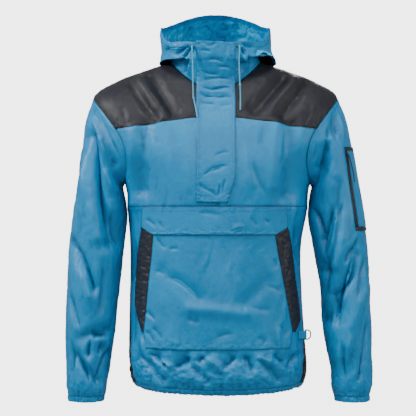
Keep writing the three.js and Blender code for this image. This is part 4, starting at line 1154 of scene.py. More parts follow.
def place_object(name: str, mesh: bpy.types.Mesh, finish: Finish, body: str = BODY_NAME) -> bpy.types.Object:
    """Links a finished mesh to the scene and has it ride a body.

    Args:
        name: The piece's name.
        mesh: Its mesh, in metres in the row frame.
        finish: The finish of its first material slot.
        body: The body it moves with.

    Returns:
        The new object.
    """
    if not mesh.materials:
        mesh.materials.append(finish.get())
    piece = bpy.data.objects.new(name, mesh)
    bpy.context.scene.collection.objects.link(piece)
    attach(piece, body)
    LOG.info("%s: %d faces", name, len(mesh.polygons))
    return piece


def solid_mesh(name: str, points: Array, faces: list, smooth_angle: float = 45) -> bpy.types.Mesh:
    """A mesh from points in millimetres and lists of corner numbers."""
    mesh = bpy.data.meshes.new(name)
    mesh.from_pydata((np.asarray(points) * MM).tolist(), [], [list(map(int, face)) for face in faces])
    mesh.shade_smooth()
    mesh.set_sharp_from_angle(angle=math.radians(smooth_angle))
    return mesh


# Panels


Edge = Callable[[Array], tuple[Array, Array]]


def line(start: tuple[float, float], end: tuple[float, float]) -> Edge:
    """A straight edge in a surface's own coordinates."""
    return lambda t: (mix(start[0], end[0], t), mix(start[1], end[1], t))


def chain(first: Edge, second: Edge, share: float) -> Edge:
    """Two edges in a row, the first taking the given share."""

    def both(t: Array) -> tuple[Array, Array]:
        """One place on whichever edge the share falls on."""
        early = first(np.clip(t / share, 0, 1))
        late = second(np.clip((t - share) / (1 - share), 0, 1))
        return tuple(np.where(t < share, a, b) for a, b in zip(early, late))

    return both


@dataclass(frozen=True)
class Outline:
    """Four edges of a panel that meet at their ends."""

    bottom: Edge
    top: Edge
    start: Edge
    end: Edge

    def fill(self, columns: int, rows: int) -> tuple[Array, Array]:
        """Places of a grid of points inside the edges, in the order column, row."""
        s, t = np.linspace(0, 1, columns + 1), np.linspace(0, 1, rows + 1)
        b, p, l, r = self.bottom(s), self.top(s), self.start(t), self.end(t)
        s, t = s[:, None], t[None, :]
        return tuple(
            (1 - t) * b[k][:, None] + t * p[k][:, None] + (1 - s) * l[k][None, :] + s * r[k][None, :]
            - ((1 - s) * (1 - t) * b[k][0] + s * (1 - t) * b[k][-1])
            - ((1 - s) * t * p[k][0] + s * t * p[k][-1])
            for k in (0, 1)
        )


@dataclass
class Panel:
    """A piece of cloth laid out as a grid on a surface, thickened into a thin closed wall."""

    name: str
    surface: Surface
    turn: Array
    place: Array
    finish: Finish
    inner: Finish
    lift: float = 0.0
    wall: float = WALL
    closed: bool = False
    felled: dict[str, float] = field(default_factory=dict)
    inset: float = 0.12
    outer: Array | None = None

    def depth_from(self, points: Array, edge: str) -> Array:
        """Distance over the cloth of each grid point from one edge."""
        axis = 0 if edge in ("start", "end") else 1
        steps = np.linalg.norm(np.diff(points, axis=axis), axis=2)
        pad = [(1, 0), (0, 0)] if axis == 0 else [(0, 0), (1, 0)]
        run = np.pad(np.cumsum(steps, axis=axis), pad)
        return run if edge in ("start", "bottom") else run.take([-1], axis=axis) - run

    def seam_rise(self, points: Array) -> Array:
        """The doubled cloth, dip and puckers along the panel's sewn edges."""
        rise = np.zeros(points.shape[:2])
        flat = points.reshape(-1, 3)
        pucker = (noise(flat / 4.2, 5) + 0.5 * noise(flat / 2.4, 6)).reshape(rise.shape)
        edges = ("bottom", "top") if self.closed else ("bottom", "top", "start", "end")
        for edge in edges:
            depth = self.depth_from(points, edge)
            rise -= 0.8 * np.exp(-depth / 1.6)
            wide = self.felled.get(edge, 0)
            if wide:
                rise += 0.5 * smooth(wide + 1.4, wide - 0.8, depth)
                rise += 0.8 * pucker * np.exp(-((depth - 0.6 * wide) ** 2) / (1.6 * wide) ** 2)
        return rise

    def build(self) -> bpy.types.Object:
        """Returns:
            The panel's object, which stands for the solid of the same name.
        """
        shape = self.turn.shape
        points, normals = self.surface.at(self.turn.ravel(), self.place.ravel())
        points, normals = points.reshape(*shape, 3), normals.reshape(*shape, 3)
        for axis, index, toward in ((1, 0, 1), (1, -1, -2), (0, 0, 1), (0, -1, -2)):
            if axis == 0 and self.closed:
                continue
            edge, inward = points.take(index, axis), points.take(toward, axis)
            where = (slice(None), index) if axis == 1 else (index,)
            points[where] = edge + self.inset * unit(inward - edge)
        points = points + normals * (self.seam_rise(points) + self.lift)[..., None]
        self.outer = points
        inner = points - normals * self.wall
        mesh = self.wall_mesh(points, inner)
        piece = place_object(f"{self.name}_cloth", mesh, self.finish)
        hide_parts(self.name)
        return piece

    def wall_mesh(self, outer: Array, inner: Array) -> bpy.types.Mesh:
        """A closed mesh of both faces and the rim, laid out in metres over the cloth."""
        columns, rows = outer.shape[:2]
        count = columns * rows
        number = np.arange(count).reshape(columns, rows)
        if self.closed:
            number = np.concatenate([number, number[:1]])
        a, b, c, d = number[:-1, :-1], number[1:, :-1], number[1:, 1:], number[:-1, 1:]
        face = np.stack([a, b, c, d], axis=-1).reshape(-1, 4)
        back = face[:, ::-1] + count
        strips = [self.rim(number[:, 0], count), self.rim(number[::-1, -1], count)]
        if not self.closed:
            strips += [self.rim(number[0, ::-1], count), self.rim(number[-1], count)]
        rim = np.concatenate(strips)
        faces = np.concatenate([face, rim, back])
        points = np.concatenate([outer.reshape(-1, 3), inner.reshape(-1, 3)]) * MM
        if self.signed_volume(points, faces) < 0:
            faces = faces[:, ::-1]
        mesh = bpy.data.meshes.new(self.name)
        mesh.vertices.add(len(points))
        mesh.vertices.foreach_set("co", points.ravel())
        mesh.loops.add(faces.size)
        mesh.loops.foreach_set("vertex_index", faces.ravel().astype(np.int32))
        mesh.polygons.add(len(faces))
        mesh.polygons.foreach_set("loop_start", np.arange(0, faces.size, 4, dtype=np.int32))
        mesh.materials.append(self.finish.get())
        mesh.materials.append(self.inner.get())
        slots = np.zeros(len(faces), np.int32)
        slots[len(face) + len(rim):] = 1
        mesh.polygons.foreach_set("material_index", slots)
        mesh.update(calc_edges=True)
        self.lay_out(mesh, outer, faces)
        self.store_painted_shade(mesh, outer, inner)
        mesh.shade_smooth()
        mesh.set_sharp_from_angle(angle=math.radians(60))
        return mesh

    def store_painted_shade(self, mesh: bpy.types.Mesh, outer: Array, inner: Array) -> None:
        """Stores painted shade for each point: 0.5 where the cloth is flat, towards 1 in a deep crease, and
        the seam shade along the sewn edges; the inner face takes the reverse.
        """
        out = unit(outer - inner)
        hollow = np.full(outer.shape[:2], 0.12)
        for step, weight in ((1, 1.0), (3, 0.6)):
            around = "wrap" if self.closed else "edge"
            wide = np.pad(outer, ((step, step), (0, 0), (0, 0)), mode=around)
            tall = np.pad(outer, ((0, 0), (step, step), (0, 0)), mode="edge")
            beside = wide[: -2 * step] + wide[2 * step :] + tall[:, : -2 * step] + tall[:, 2 * step :]
            hollow += weight * ((0.25 * beside - outer) * out).sum(axis=2)
        for edge in (0, 1, 2, -1, -2, -3):
            hollow[:, edge] = 0
            if not self.closed:
                hollow[edge] = 0
        level = 0.5 + 0.5 * np.tanh(HOLLOW_SHADE_GAIN * hollow)
        # Painted shade along the sewn edges
        for edge in (0, -1):
            level[:, edge] = SEAM_SHADE
            if not self.closed:
                level[edge] = SEAM_SHADE
        level = level.ravel()
        attribute = mesh.attributes.new("PaintedShade", "FLOAT", "POINT")
        attribute.data.foreach_set("value", np.concatenate([level, 1 - level]).astype(np.float32))

    @staticmethod
    def rim(row: Array, count: int) -> Array:
        """The strip between the two faces along one edge."""
        return np.stack([row[1:], row[:-1], row[:-1] + count, row[1:] + count], axis=-1)

    @staticmethod
    def signed_volume(points: Array, faces: Array) -> float:
        """The volume inside the faces, negative where they face in."""
        p = points[faces]
        first = np.einsum("ij,ij->i", p[:, 0], np.cross(p[:, 1], p[:, 2])).sum()
        return float(first + np.einsum("ij,ij->i", p[:, 0], np.cross(p[:, 2], p[:, 3])).sum())

    @staticmethod
    def lay_out(mesh: bpy.types.Mesh, outer: Array, faces: Array) -> None:
        """Gives the mesh a layout along its columns and rows, in metres."""
        columns, rows = outer.shape[:2]
        across = np.linalg.norm(np.diff(outer, axis=0), axis=2).mean() * MM
        along = np.linalg.norm(np.diff(outer, axis=1), axis=2).mean() * MM
        i, j = np.divmod(np.arange(columns * rows), rows)
        uv = np.tile(np.stack([i * across, j * along], axis=1), (2, 1))
        layer = mesh.uv_layers.new(name="Weave")
        layer.data.foreach_set("uv", uv[faces.ravel()].astype(np.float32).ravel())

    def edge_line(self, edge: str, depth: float, out: float = 0.12) -> Array:
        """A line on the outer face that runs beside one edge.

        Args:
            edge: The edge's name.
            depth: How far the line lies from it.
            out: How far the line stands off the cloth.

        Returns:
            The line's points.
        """
        grid = self.outer if edge in ("bottom", "start") else self.outer[::-1, ::-1]
        runs = grid if edge in ("bottom", "top") else grid.transpose(1, 0, 2)
        if edge in ("bottom", "top") and self.closed:
            runs = np.concatenate([runs, runs[:1]])
        spots = []
        for run in runs:
            length = np.concatenate([[0], np.cumsum(np.linalg.norm(np.diff(run, axis=0), axis=1))])
            spots.append([np.interp(depth, length, run[:, k]) for k in range(3)])
        spots = np.array(spots)
        ahead = np.gradient(spots, axis=0)
        beside = runs[:, 2] - runs[:, 0]
        normal = unit(np.cross(ahead, beside))
        centre = self.outer.reshape(-1, 3).mean(0)
        flip = np.sign(((spots - centre) * normal).sum() or 1)
        return spots + flip * out * normal


def panel(
    name: str,
    surface: Surface,
    outline: Outline,
    cells: tuple[int, int],
    finish: Finish,
    inner: Finish | None = None,
    **options: object,
) -> Panel:
    """Builds a panel that fills an outline.

    Args:
        name: The solid it stands for.
        surface: What it lies on.
        outline: Its four edges in the surface's coordinates.
        cells: Columns and rows.
        finish: The outer face's finish.
        inner: The inner face's finish, or None for the same.
        options: Other fields of the panel.

    Returns:
        The built panel.
    """
    turn, place = outline.fill(*cells)
    made = Panel(name, surface, turn, place, finish, inner or finish, **options)
    made.build()
    return made


def tube_panel(
    name: str, surface: Surface, levels: tuple[float, float], cells: tuple[int, int], **options: object
) -> Panel:
    """Builds a panel that runs all the way round.

    Args:
        name: The solid it stands for.
        surface: What it lies on.
        levels: The places it starts and ends at.
        cells: Columns and rows.
        options: Other fields of the panel.

    Returns:
        The built panel.
    """
    turns = full_turn(cells[0])
    places = np.linspace(*levels, cells[1] + 1)
    turn, place = np.meshgrid(turns, places, indexing="ij")
    made = Panel(name, surface, turn, place, Finish.BLUE, Finish.BLUE, closed=True, **options)
    made.build()
    return made


@dataclass
class Puckered(Surface):
    """A surface drawn into small even waves, which grow towards the far level where it opens."""

    under: Surface
    waves: int
    depth: float
    levels: tuple[float, float]
    opens: bool

    def at(self, turn: Array, place: Array) -> tuple[Array, Array]:
        """Points of the band."""
        points, normals = self.under.at(turn, place)
        t = (place - self.levels[0]) / (self.levels[1] - self.levels[0])
        share = 0.35 + 0.65 * t if self.opens else 1 - 0.5 * t
        wander = 0.5 * noise(np.stack([turn * 6, t, np.zeros_like(t)], axis=1), 41)
        wave = np.cos(self.waves * turn + 2.2 * wander) * (0.75 + wander)
        return points + normals * (self.depth * share * wave)[:, None], normals


# Seams on the body


def seam_level(body: BodySurface, turn: Array, height: Callable[[Array], Array]) -> Array:
    """The level at which a seam's height meets the body at each turn."""
    turn = np.atleast_1d(np.asarray(turn, float))

    def above(p: Array) -> Array:
        """How far the body stands above the seam at each level."""
        point = body.base(turn, p)
        return point[:, 2] - height(point[:, 0])

    low, high = np.zeros_like(turn), np.full_like(turn, BODY["neck"])
    return solve(above, np.zeros_like(turn), low, high)


def side_half(place: Array) -> Array:
    """Half the side panel's turn at a level."""
    return mix(SIDE_TOP, SIDE_HEM, 1 - smooth(BODY["hem"], BODY["waist"] + 1, place))


ARMPIT = math.pi - math.asin(SIDE_TOP / ARM_FRONT_CUT)
ARMPIT_BACK = math.pi + math.asin(SIDE_TOP / ARM_BACK_CUT)
ARMPIT_LEVEL = ARM_MIDDLE + math.cos(ARMPIT)
ARMPIT_LEVEL_BACK = ARM_MIDDLE + math.cos(ARMPIT_BACK)


def front_seam(side: int, low: float, high: float) -> Edge:
    """The seam between the front and the side panel, between two levels."""
    return lambda t: (side * (QUARTER - side_half(mix(low, high, t))), mix(low, high, t))


def back_seam(side: int, low: float, high: float) -> Edge:
    """The seam between the back and the side panel, between two levels."""
    return lambda t: (side * (QUARTER + side_half(mix(low, high, t))), mix(low, high, t))


def mirrored(edge: Edge) -> Edge:
    """The same edge on the other side of the back."""

    def other(t: Array) -> tuple[Array, Array]:
        """One place on the mirrored edge."""
        turn, place = edge(t)
        return FULL - turn, place

    return other


def between(start: Edge, end: Edge) -> Outline:
    """The outline between two side edges, with straight lines that join their ends."""
    joins = []
    for t in (0.0, 1.0):
        joins.append(line(*(tuple(float(v) for v in edge(np.array(t))) for edge in (start, end))))
    return Outline(*joins, start, end)


def arm_seam(side: int, start: float, end: float) -> Edge:
    """A stretch of the armhole."""
    return lambda t: armhole_edge(mix(start, end, t), side)


def yoke_seam(body: BodySurface, seam: tuple[float, float, float], start: tuple, end: tuple) -> Edge:
    """A yoke's lower seam between two places that it has to meet.

    Args:
        body: The surface it lies on.
        seam: Its height in the middle, its drop, and how far from the middle the drop is reached.
        start: The turn and place of its first end.
        end: The turn and place of its second end.

    Returns:
        The edge.
    """

    def height(x: Array) -> Array:
        """The seam's height at each distance from the middle."""
        return seam[0] - seam[1] * (np.abs(x) / seam[2]) ** 1.6

    miss = [float(place) - seam_level(body, float(turn), height)[0] for turn, place in (start, end)]

    def edge(s: Array) -> tuple[Array, Array]:
        """One place on the seam."""
        turn = mix(float(start[0]), float(end[0]), s)
        return turn, seam_level(body, turn, height) + mix(miss[0], miss[1], s)

    return edge


@dataclass
class Threads:
    """Rows of stitches, gathered while the panels are built."""

    rows: list[tuple[Array, Finish]] = field(default_factory=list)

    def add(self, points: Array, finish: Finish = Finish.BLUE_THREAD) -> None:
        """Adds one row along a line of points."""
        self.rows.append((points, finish))

    def sew(self, made: Panel, finish: Finish = Finish.BLUE_THREAD, **edges: tuple[float, ...]) -> None:
        """Adds rows along a panel's edges.

        Args:
            made: The built panel.
            finish: The thread.
            edges: For each edge's name, how far from it the rows lie.
        """
        for edge, depths in edges.items():
            for depth in depths:
                self.add(made.edge_line(edge, depth), finish)

    def build(self) -> None:
        """Makes the stitches of each finish as one mesh, by instances that are then realized."""
        for finish in (Finish.BLUE_THREAD, Finish.GREY_THREAD):
            rows = [points for points, kind in self.rows if kind is finish]
            starts = np.cumsum([0] + [len(row) for row in rows])
            edges = [(k, k + 1) for a, b in zip(starts, starts[1:]) for k in range(a, b - 1)]
            mesh = RowOfPieces(finish, 0.0031, 0.0021, 0.00026, 5, 7).realize(np.concatenate(rows), edges)
            place_object(f"stitches_{finish.name.lower()}", mesh, finish)


@dataclass(frozen=True)
class RowOfPieces:
    """A node tree that sets a small rod at even steps along the edges of a mesh."""

    finish: Finish
    pitch: float
    length: float
    radius: float
    sides: int
    seed: int

    def tree(self) -> tuple[bpy.types.NodeTree, dict[str, str]]:
        """Builds the tree.

        Returns:
            The tree, and the identifier of each named input.
        """
        tree = bpy.data.node_groups.new("RowOfPieces", "GeometryNodeTree")
        face = tree.interface
        sizes = dict.fromkeys(("Pitch", "Length", "Radius"), "Float")
        kinds = {"Geometry": "Geometry", **sizes, "Seed": "Int"}
        names = {
            name: face.new_socket(name=name, in_out="INPUT", socket_type=f"NodeSocket{kind}").identifier
            for name, kind in kinds.items()
        }
        face.new_socket(name="Geometry", in_out="OUTPUT", socket_type="NodeSocketGeometry")
        sink = add_node(tree, "NodeGroupOutput")
        given = add_node(tree, "NodeGroupInput").outputs
        curve = add_node(tree, "GeometryNodeMeshToCurve", {"Mesh": given["Geometry"]})
        values = {"Curve": curve.outputs["Curve"], "Length": given["Pitch"]}
        even = add_node(tree, "GeometryNodeResampleCurve", values, mode="LENGTH")
        values = {"Vertices": self.sides, "Radius": given["Radius"], "Depth": given["Length"]}
        rod = add_node(tree, "GeometryNodeMeshCylinder", values)
        tangent = add_node(tree, "GeometryNodeInputTangent").outputs["Tangent"]
        align = add_node(tree, "FunctionNodeAlignRotationToVector", {"Vector": tangent}, axis="Z")
        values = {2: 0.88, 3: 1.1, "Seed": given["Seed"]}
        varied = add_node(tree, "FunctionNodeRandomValue", values, data_type="FLOAT")
        values = {
            "Points": even.outputs["Curve"],
            "Instance": rod.outputs["Mesh"],
            "Rotation": align.outputs["Rotation"],
            "Scale": varied.outputs[1],
        }
        spread = add_node(tree, "GeometryNodeInstanceOnPoints", values)
        real = add_node(tree, "GeometryNodeRealizeInstances", {"Geometry": spread.outputs["Instances"]})
        values = {"Geometry": real.outputs["Geometry"], "Material": self.finish.get()}
        paint = add_node(tree, "GeometryNodeSetMaterial", values)
        feed(tree, sink, {"Geometry": paint.outputs["Geometry"]})
        return tree, names

    def realize(self, points: Array, edges: list[tuple[int, int]]) -> bpy.types.Mesh:
        """Runs the tree along lines of points.

        Args:
            points: The points, in millimetres.
            edges: Pairs of neighbours on a line.

        Returns:
            A plain mesh of all the rods.
        """
        guide = bpy.data.meshes.new("RowGuide")
        guide.from_pydata((points * MM).tolist(), edges, [])
        carrier = bpy.data.objects.new("RowGuide", guide)
        bpy.context.scene.collection.objects.link(carrier)
        tree, names = self.tree()
        modifier = carrier.modifiers.new("Rows", "NODES")
        modifier.node_group = tree
        values = {"Pitch": self.pitch, "Length": self.length, "Radius": self.radius, "Seed": self.seed}
        for name, value in values.items():
            modifier[names[name]] = value
        graph = bpy.context.evaluated_depsgraph_get()
        mesh = bpy.data.meshes.new_from_object(carrier.evaluated_get(graph))
        carrier.modifiers.remove(modifier)
        bpy.data.objects.remove(carrier)
        return mesh


# Sub-assemblies


@dataclass
class Torso:
    """The front, back, side panels and hem."""

    body: BodySurface
    threads: Threads

    def build(self) -> None:
        """Builds every panel of the torso."""
        self.fronts()
        self.back()
        for side in Side:
            outline = Outline(
                lambda s, k=side.value: (
                    k * mix(QUARTER - side_half(BODY["hem_top"]), QUARTER + side_half(BODY["hem_top"]), s),
                    np.full(np.shape(s), BODY["hem_top"]),
                ),
                arm_seam(side.value, ARMPIT, ARMPIT_BACK),
                front_seam(side.value, BODY["hem_top"], ARMPIT_LEVEL),
                back_seam(side.value, BODY["hem_top"], ARMPIT_LEVEL_BACK),
            )
            panel(f"side_panel_{side.word}", self.body, outline, (14, 144), Finish.GREY)
        levels = (BODY["hem"], BODY["hem_top"])
        band = Puckered(self.body, 84, 0.9, levels, False)
        hem = tube_panel("hem_band", band, levels, (420, 9), wall=1.4)
        self.threads.sew(hem, top=(1.6,))

    def waist_seam(self, a: float, b: float) -> Edge:
        """The level seam under the chest, between two turns."""

        def edge(s: Array) -> tuple[Array, Array]:
            """One place on the seam."""
            turn = mix(a, b, s)
            return turn, seam_level(self.body, turn, lambda x: np.full_like(x, WAIST_SEAM))

        return edge

    def fronts(self) -> None:
        """Builds the lower front, both chests and both front yokes."""
        ribs = float(QUARTER - side_half(BODY["ribs"]))
        waist_end = float(self.waist_seam(ribs, ribs)(np.zeros(1))[1][0])
        hem_turn = float(QUARTER - side_half(BODY["hem_top"]))
        hem_level = BODY["hem_top"]
        lower = Outline(
            line((-hem_turn, hem_level), (hem_turn, hem_level)),
            self.waist_seam(-ribs, ribs),
            front_seam(-1, hem_level, waist_end),
            front_seam(1, hem_level, waist_end),
        )
        made = panel("front_lower", self.body, lower, (132, 128), Finish.BLUE, felled={"top": 6})
        self.threads.sew(made, start=(2.2,), end=(2.2,))
        middle = (0.0, float(seam_level(self.body, 0.0, lambda x: np.full_like(x, YOKE_FRONT[0]))[0]))
        waist_middle = (0.0, float(self.waist_seam(0, 0)(np.zeros(1))[1][0]))
        for side in Side:
            k = side.value
            corner = tuple(float(v) for v in armhole_edge(np.array(YOKE_END_FRONT), k))
            seam = yoke_seam(self.body, YOKE_FRONT, middle, corner)
            below = front_seam(k, waist_end, ARMPIT_LEVEL)
            under_arm = chain(below, arm_seam(k, ARMPIT, YOKE_END_FRONT), 0.375)
            chest = Outline(self.waist_seam(0, k * ribs), seam, line(waist_middle, middle), under_arm)
            made = panel(f"front_chest_{side.word}", self.body, chest, (66, 72), Finish.BLUE)
            self.threads.sew(made, bottom=(2,))
            shoulder = line((k * QUARTER, BODY["shoulder_tip"]), (k * QUARTER, BODY["neck"]))
            yoke = Outline(
                seam,
                line((0, BODY["neck"]), (k * QUARTER, BODY["neck"])),
                line(middle, (0, BODY["neck"])),
                chain(arm_seam(k, YOKE_END_FRONT, 0), shoulder, 3 / 7),
            )
            felled = {"bottom": 7, "end": 5}
            made = panel(f"front_yoke_{side.word}", self.body, yoke, (70, 77), Finish.GREY, felled=felled)
            self.threads.sew(made, Finish.GREY_THREAD, bottom=(1.6, 6.4), end=(1.8,))

    def back(self) -> None:
        """Builds the back and its yoke."""
        body = self.body
        middle = (math.pi, float(seam_level(body, math.pi, lambda x: np.full_like(x, YOKE_BACK[0]))[0]))
        corner = tuple(float(v) for v in armhole_edge(np.array(-YOKE_END_BACK), 1))
        half = yoke_seam(body, YOKE_BACK, corner, middle)

        def seam(s: Array) -> tuple[Array, Array]:
            """One place on the seam across the whole back."""
            turn, place = half(np.where(s < 0.5, 2 * s, 2 - 2 * s))
            return np.where(s < 0.5, turn, FULL - turn), place

        low = BODY["hem_top"]
        under_arm = arm_seam(1, ARMPIT_BACK - FULL, -YOKE_END_BACK)
        left = chain(back_seam(1, low, ARMPIT_LEVEL_BACK), under_arm, 12 / 17)
        hem_turn = float(QUARTER + side_half(low))
        outline = Outline(line((hem_turn, low), (FULL - hem_turn, low)), seam, left, mirrored(left))
        made = panel("back_body", body, outline, (130, 170), Finish.BLUE)
        self.threads.sew(made, start=(2.2,))
        shoulder = chain(
            arm_seam(1, -YOKE_END_BACK, 0),
            line((QUARTER, BODY["shoulder_tip"]), (QUARTER, BODY["neck"])),
            0.5,
        )
        top = line((QUARTER, BODY["neck"]), (3 * QUARTER, BODY["neck"]))
        yoke = Outline(seam, top, shoulder, mirrored(shoulder))
        felled = {"bottom": 7, "start": 5, "end": 5}
        made = panel("back_yoke", body, yoke, (132, 66), Finish.GREY, felled=felled)
        self.threads.sew(made, Finish.GREY_THREAD, bottom=(1.6, 6.4))


@dataclass
class Sleeve:
    """A sleeve and its elastic cuff."""

    body: BodySurface
    side: Side
    threads: Threads

    def build(self) -> SleeveSurface:
        """Builds the sleeve.

        Returns:
            The sleeve's surface, for what lies on it.
        """
        surface = SleeveSurface(self.body, self.side.value)
        levels = (0.0, SLEEVE["cuff_top"])
        cells = (124, 184)
        made = tube_panel(f"sleeve_{self.side.word}", surface, levels, cells, felled={"bottom": 6})
        self.threads.sew(made, bottom=(1.8, 6))
        levels = (SLEEVE["cuff_top"], SLEEVE["cuff"])
        band = Puckered(surface, 34, 0.8, levels, True)
        cuff = tube_panel(f"cuff_{self.side.word}", band, levels, (160, 9), wall=1.3)
        self.threads.sew(cuff, bottom=(1.4,))
        return surface


@dataclass
class Hood:
    """The neck, hood and the band round its opening."""

    surface: HoodSurface
    threads: Threads

    def casing_level(self, turn: Array) -> Array:
        """Where the band round the opening starts."""
        turn = np.atleast_1d(np.asarray(turn, float))
        edge = self.surface.base(turn, np.full_like(turn, HOOD["edge"]))

        def nearness(p: Array) -> Array:
            """How near each level is to the opening, which is below 0."""
            return -np.linalg.norm(self.surface.base(turn, p) - edge, axis=1)

        low, high = np.full_like(turn, HOOD["outer"]), np.full_like(turn, HOOD["edge"])
        return solve(nearness, np.full_like(turn, -HOOD_CASING), low, high)

    def seam(self, turn: float) -> Edge:
        """A straight seam from the neck up to the band."""
        top = float(self.casing_level(turn)[0])
        return line((turn, 0), (turn, top))

    def part(self, name: str, start: Edge, end: Edge, columns: int, finish: Finish) -> Panel:
        """Builds one panel between the neck seam and the band."""
        a, b = (float(edge(1.0)[0]) for edge in (start, end))
        outline = Outline(
            line((float(start(0.0)[0]), 0), (float(end(0.0)[0]), 0)),
            lambda s: (mix(a, b, s), self.casing_level(mix(a, b, s))),
            lambda t: tuple(np.broadcast_to(v, np.shape(t)) for v in start(t)),
            lambda t: tuple(np.broadcast_to(v, np.shape(t)) for v in end(t)),
        )
        felled = {"bottom": 5, "top": 3}
        return panel(name, self.surface, outline, (columns, 120), finish, Finish.LIT_LINING, felled=felled)

    def build(self) -> None:
        """Builds the hood's three panels and the band."""
        left_seam = self.seam(HOOD_GREY[0])
        right_seam = self.seam(HOOD_GREY[1])
        front = self.seam(0)
        left = self.part("hood_left", front, left_seam, 72, Finish.BLUE)
        self.part("hood_back", left_seam, right_seam, 110, Finish.GREY)
        turned = self.seam(HOOD_GREY[1] - FULL)
        right = self.part("hood_right", turned, front, 60, Finish.BLUE)
        for made in (left, right):
            self.threads.sew(made, bottom=(2, 5))
        ends = [float(self.casing_level(end)[0]) for end in (0, FULL)]
        outline = Outline(
            lambda s: (FULL * s, self.casing_level(FULL * s)),
            line((0, HOOD["edge"]), (FULL, HOOD["edge"])),
            line((0, ends[0]), (0, HOOD["edge"])),
            line((FULL, ends[1]), (FULL, HOOD["edge"])),
        )
        band = panel("hood_casing", self.surface, outline, (260, 10), Finish.BLUE, felled={"top": 3})
        self.threads.sew(band, bottom=(1.8,), top=(2.2,))


@dataclass
class FrontPieces:
    """The storm flap, the pouch pocket, its flap and its trims."""

    body: BodySurface
    hood: HoodSurface
    threads: Threads

    def build(self) -> None:
        """Builds everything that is sewn on the front."""
        self.placket()
        pocket = PocketSurface(self.body, self.hood, 0.0, POCKET_CREASES)
        first, tip = POCKET_EDGES[0], POCKET_EDGES[-1]
        heights = np.array([row.z for row in POCKET_EDGES])[::-1]

        def reach(key: str, z: Array) -> Array:
            """How far out an edge lies at each height."""
            return np.interp(z, heights, [getattr(row, key) for row in reversed(POCKET_EDGES)])

        def pocket_side(key: str, foot: float) -> Edge:
            """The pocket's edge under a trim and below it."""

            def edge(t: Array) -> tuple[Array, Array]:
                """One place on the edge."""
                z = mix(POCKET_BOTTOM, POCKET_TOP, t)
                low = mix(foot, getattr(tip, key), (z - POCKET_BOTTOM) / (tip.z - POCKET_BOTTOM))
                return np.where(z < tip.z, low, reach(key, z)), z

            return edge

        def trim_side(key: str, climb: float) -> Edge:
            """A trim's edge, whose top may climb under the flap."""

            def edge(t: Array) -> tuple[Array, Array]:
                """One place on the edge."""
                z = mix(tip.z, first.z, t)
                return reach(key, z), z + climb * smooth(0.4, 1, t)

            return edge

        outline = between(pocket_side("in_right", POCKET_FOOT[0]), pocket_side("in_left", POCKET_FOOT[1]))
        made = panel("pocket_body", pocket, outline, (116, 116), Finish.BLUE, felled={"bottom": 10})
        self.threads.sew(made, bottom=(2, 10.5), start=(2,), end=(2,))
        trim = TrimSurface(self.body, self.hood, 0.0, ())
        for word in ("left", "right"):
            outline = between(trim_side(f"in_{word}", 0), trim_side(f"out_{word}", TRIM_RISE))
            made = panel(f"pocket_trim_{word}", trim, outline, (16, 90), Finish.TRIM)
            self.threads.sew(made, Finish.GREY_THREAD, start=(1.6, 4.4), end=(1.6,))
        self.flap(first)

    def flap(self, first: EdgeRow) -> None:
        """Builds the flap over the pocket's mouth."""
        surface = PocketSurface(self.body, self.hood, FLAP_LIFT - POCKET_LIFT, FLAP_CREASES)

        def side(foot: float, half: float, sign: int) -> Edge:
            """The flap's slanting corner and the edge above it."""
            corner = (sign * half, FLAP_BOTTOM + FLAP_CORNER)
            upright = line(corner, (sign * (half - 2), POCKET_TOP))
            return chain(line((foot, FLAP_BOTTOM), corner), upright, 0.5)

        right = side(first.in_right, FLAP_HALVES[0], -1)
        left = side(first.in_left, FLAP_HALVES[1], 1)
        foot = line((first.in_right, FLAP_BOTTOM), (first.in_left, FLAP_BOTTOM))
        top = line((-(FLAP_HALVES[0] - 2), POCKET_TOP), (FLAP_HALVES[1] - 2, POCKET_TOP))
        felled = {"bottom": 6, "top": 4}
        outline = Outline(foot, top, right, left)
        made = panel("pocket_flap", surface, outline, (128, 28), Finish.BLUE, felled=felled)
        self.threads.sew(made, top=(2, 8), bottom=(2, 6), start=(2,), end=(2,))

    def placket(self) -> None:
        """Builds the storm flap, with its corner cut off below."""
        half, foot = PLACKET_HALF, PLACKET_HALF - PLACKET_CUT[1]
        outline = Outline(
            line((-half, PLACKET_BOTTOM), (foot, PLACKET_BOTTOM)),
            line((-half, PLACKET_TOP[0]), (half, PLACKET_TOP[1])),
            line((-half, PLACKET_BOTTOM), (-half, PLACKET_TOP[0])),
            chain(
                line((foot, PLACKET_BOTTOM), (half, PLACKET_CUT[0])),
                line((half, PLACKET_CUT[0]), (half, PLACKET_TOP[1])),
                0.2,
            ),
        )
        surface = PlacketSurface(self.body, self.hood)
        felled = {"start": 6, "end": 6, "top": 5, "bottom": 4}
        made = panel("placket", surface, outline, (44, 160), Finish.BLUE, wall=1.2, felled=felled)
        self.threads.sew(made, start=(2, 6), end=(2, 6), bottom=(3,), top=(3,))


def spot_frame(point: Array, normal: Array, up: tuple[float, float, float] = (0, 0, 1)) -> Matrix:
    """A frame whose Z is the normal and whose Y runs up along the surface."""
    z = Vector(normal).normalized()
    x = Vector(up).cross(z).normalized()
    y = z.cross(x)
    turned = Matrix((x, y, z)).transposed().to_4x4()
    return Matrix.Translation(Vector(point)) @ turned


def through_frame(matrix: Matrix, points: Array) -> Array:
    """Points of a local frame in the part's frame."""
    return np.array([matrix @ Vector(p) for p in points])


def ring_faces(rings: int, sides: int, closed: bool) -> list[tuple[int, ...]]:
    """Faces of a tube, with ends where it isn't closed.

    Args:
        rings: How many rings it has.
        sides: How many points each ring has.
        closed: Whether the last ring joins the first.

    Returns:
        Each face's point numbers.
    """
    faces = []
    for k in range(rings if closed else rings - 1):
        for n in range(sides):
            a, b = k * sides + n, k * sides + (n + 1) % sides
            c, d = ((k + 1) % rings) * sides + (n + 1) % sides, ((k + 1) % rings) * sides + n
            faces.append((a, b, c, d))
    if not closed:
        faces.append(tuple(range(sides))[::-1])
        faces.append(tuple((rings - 1) * sides + n for n in range(sides)))
    return faces


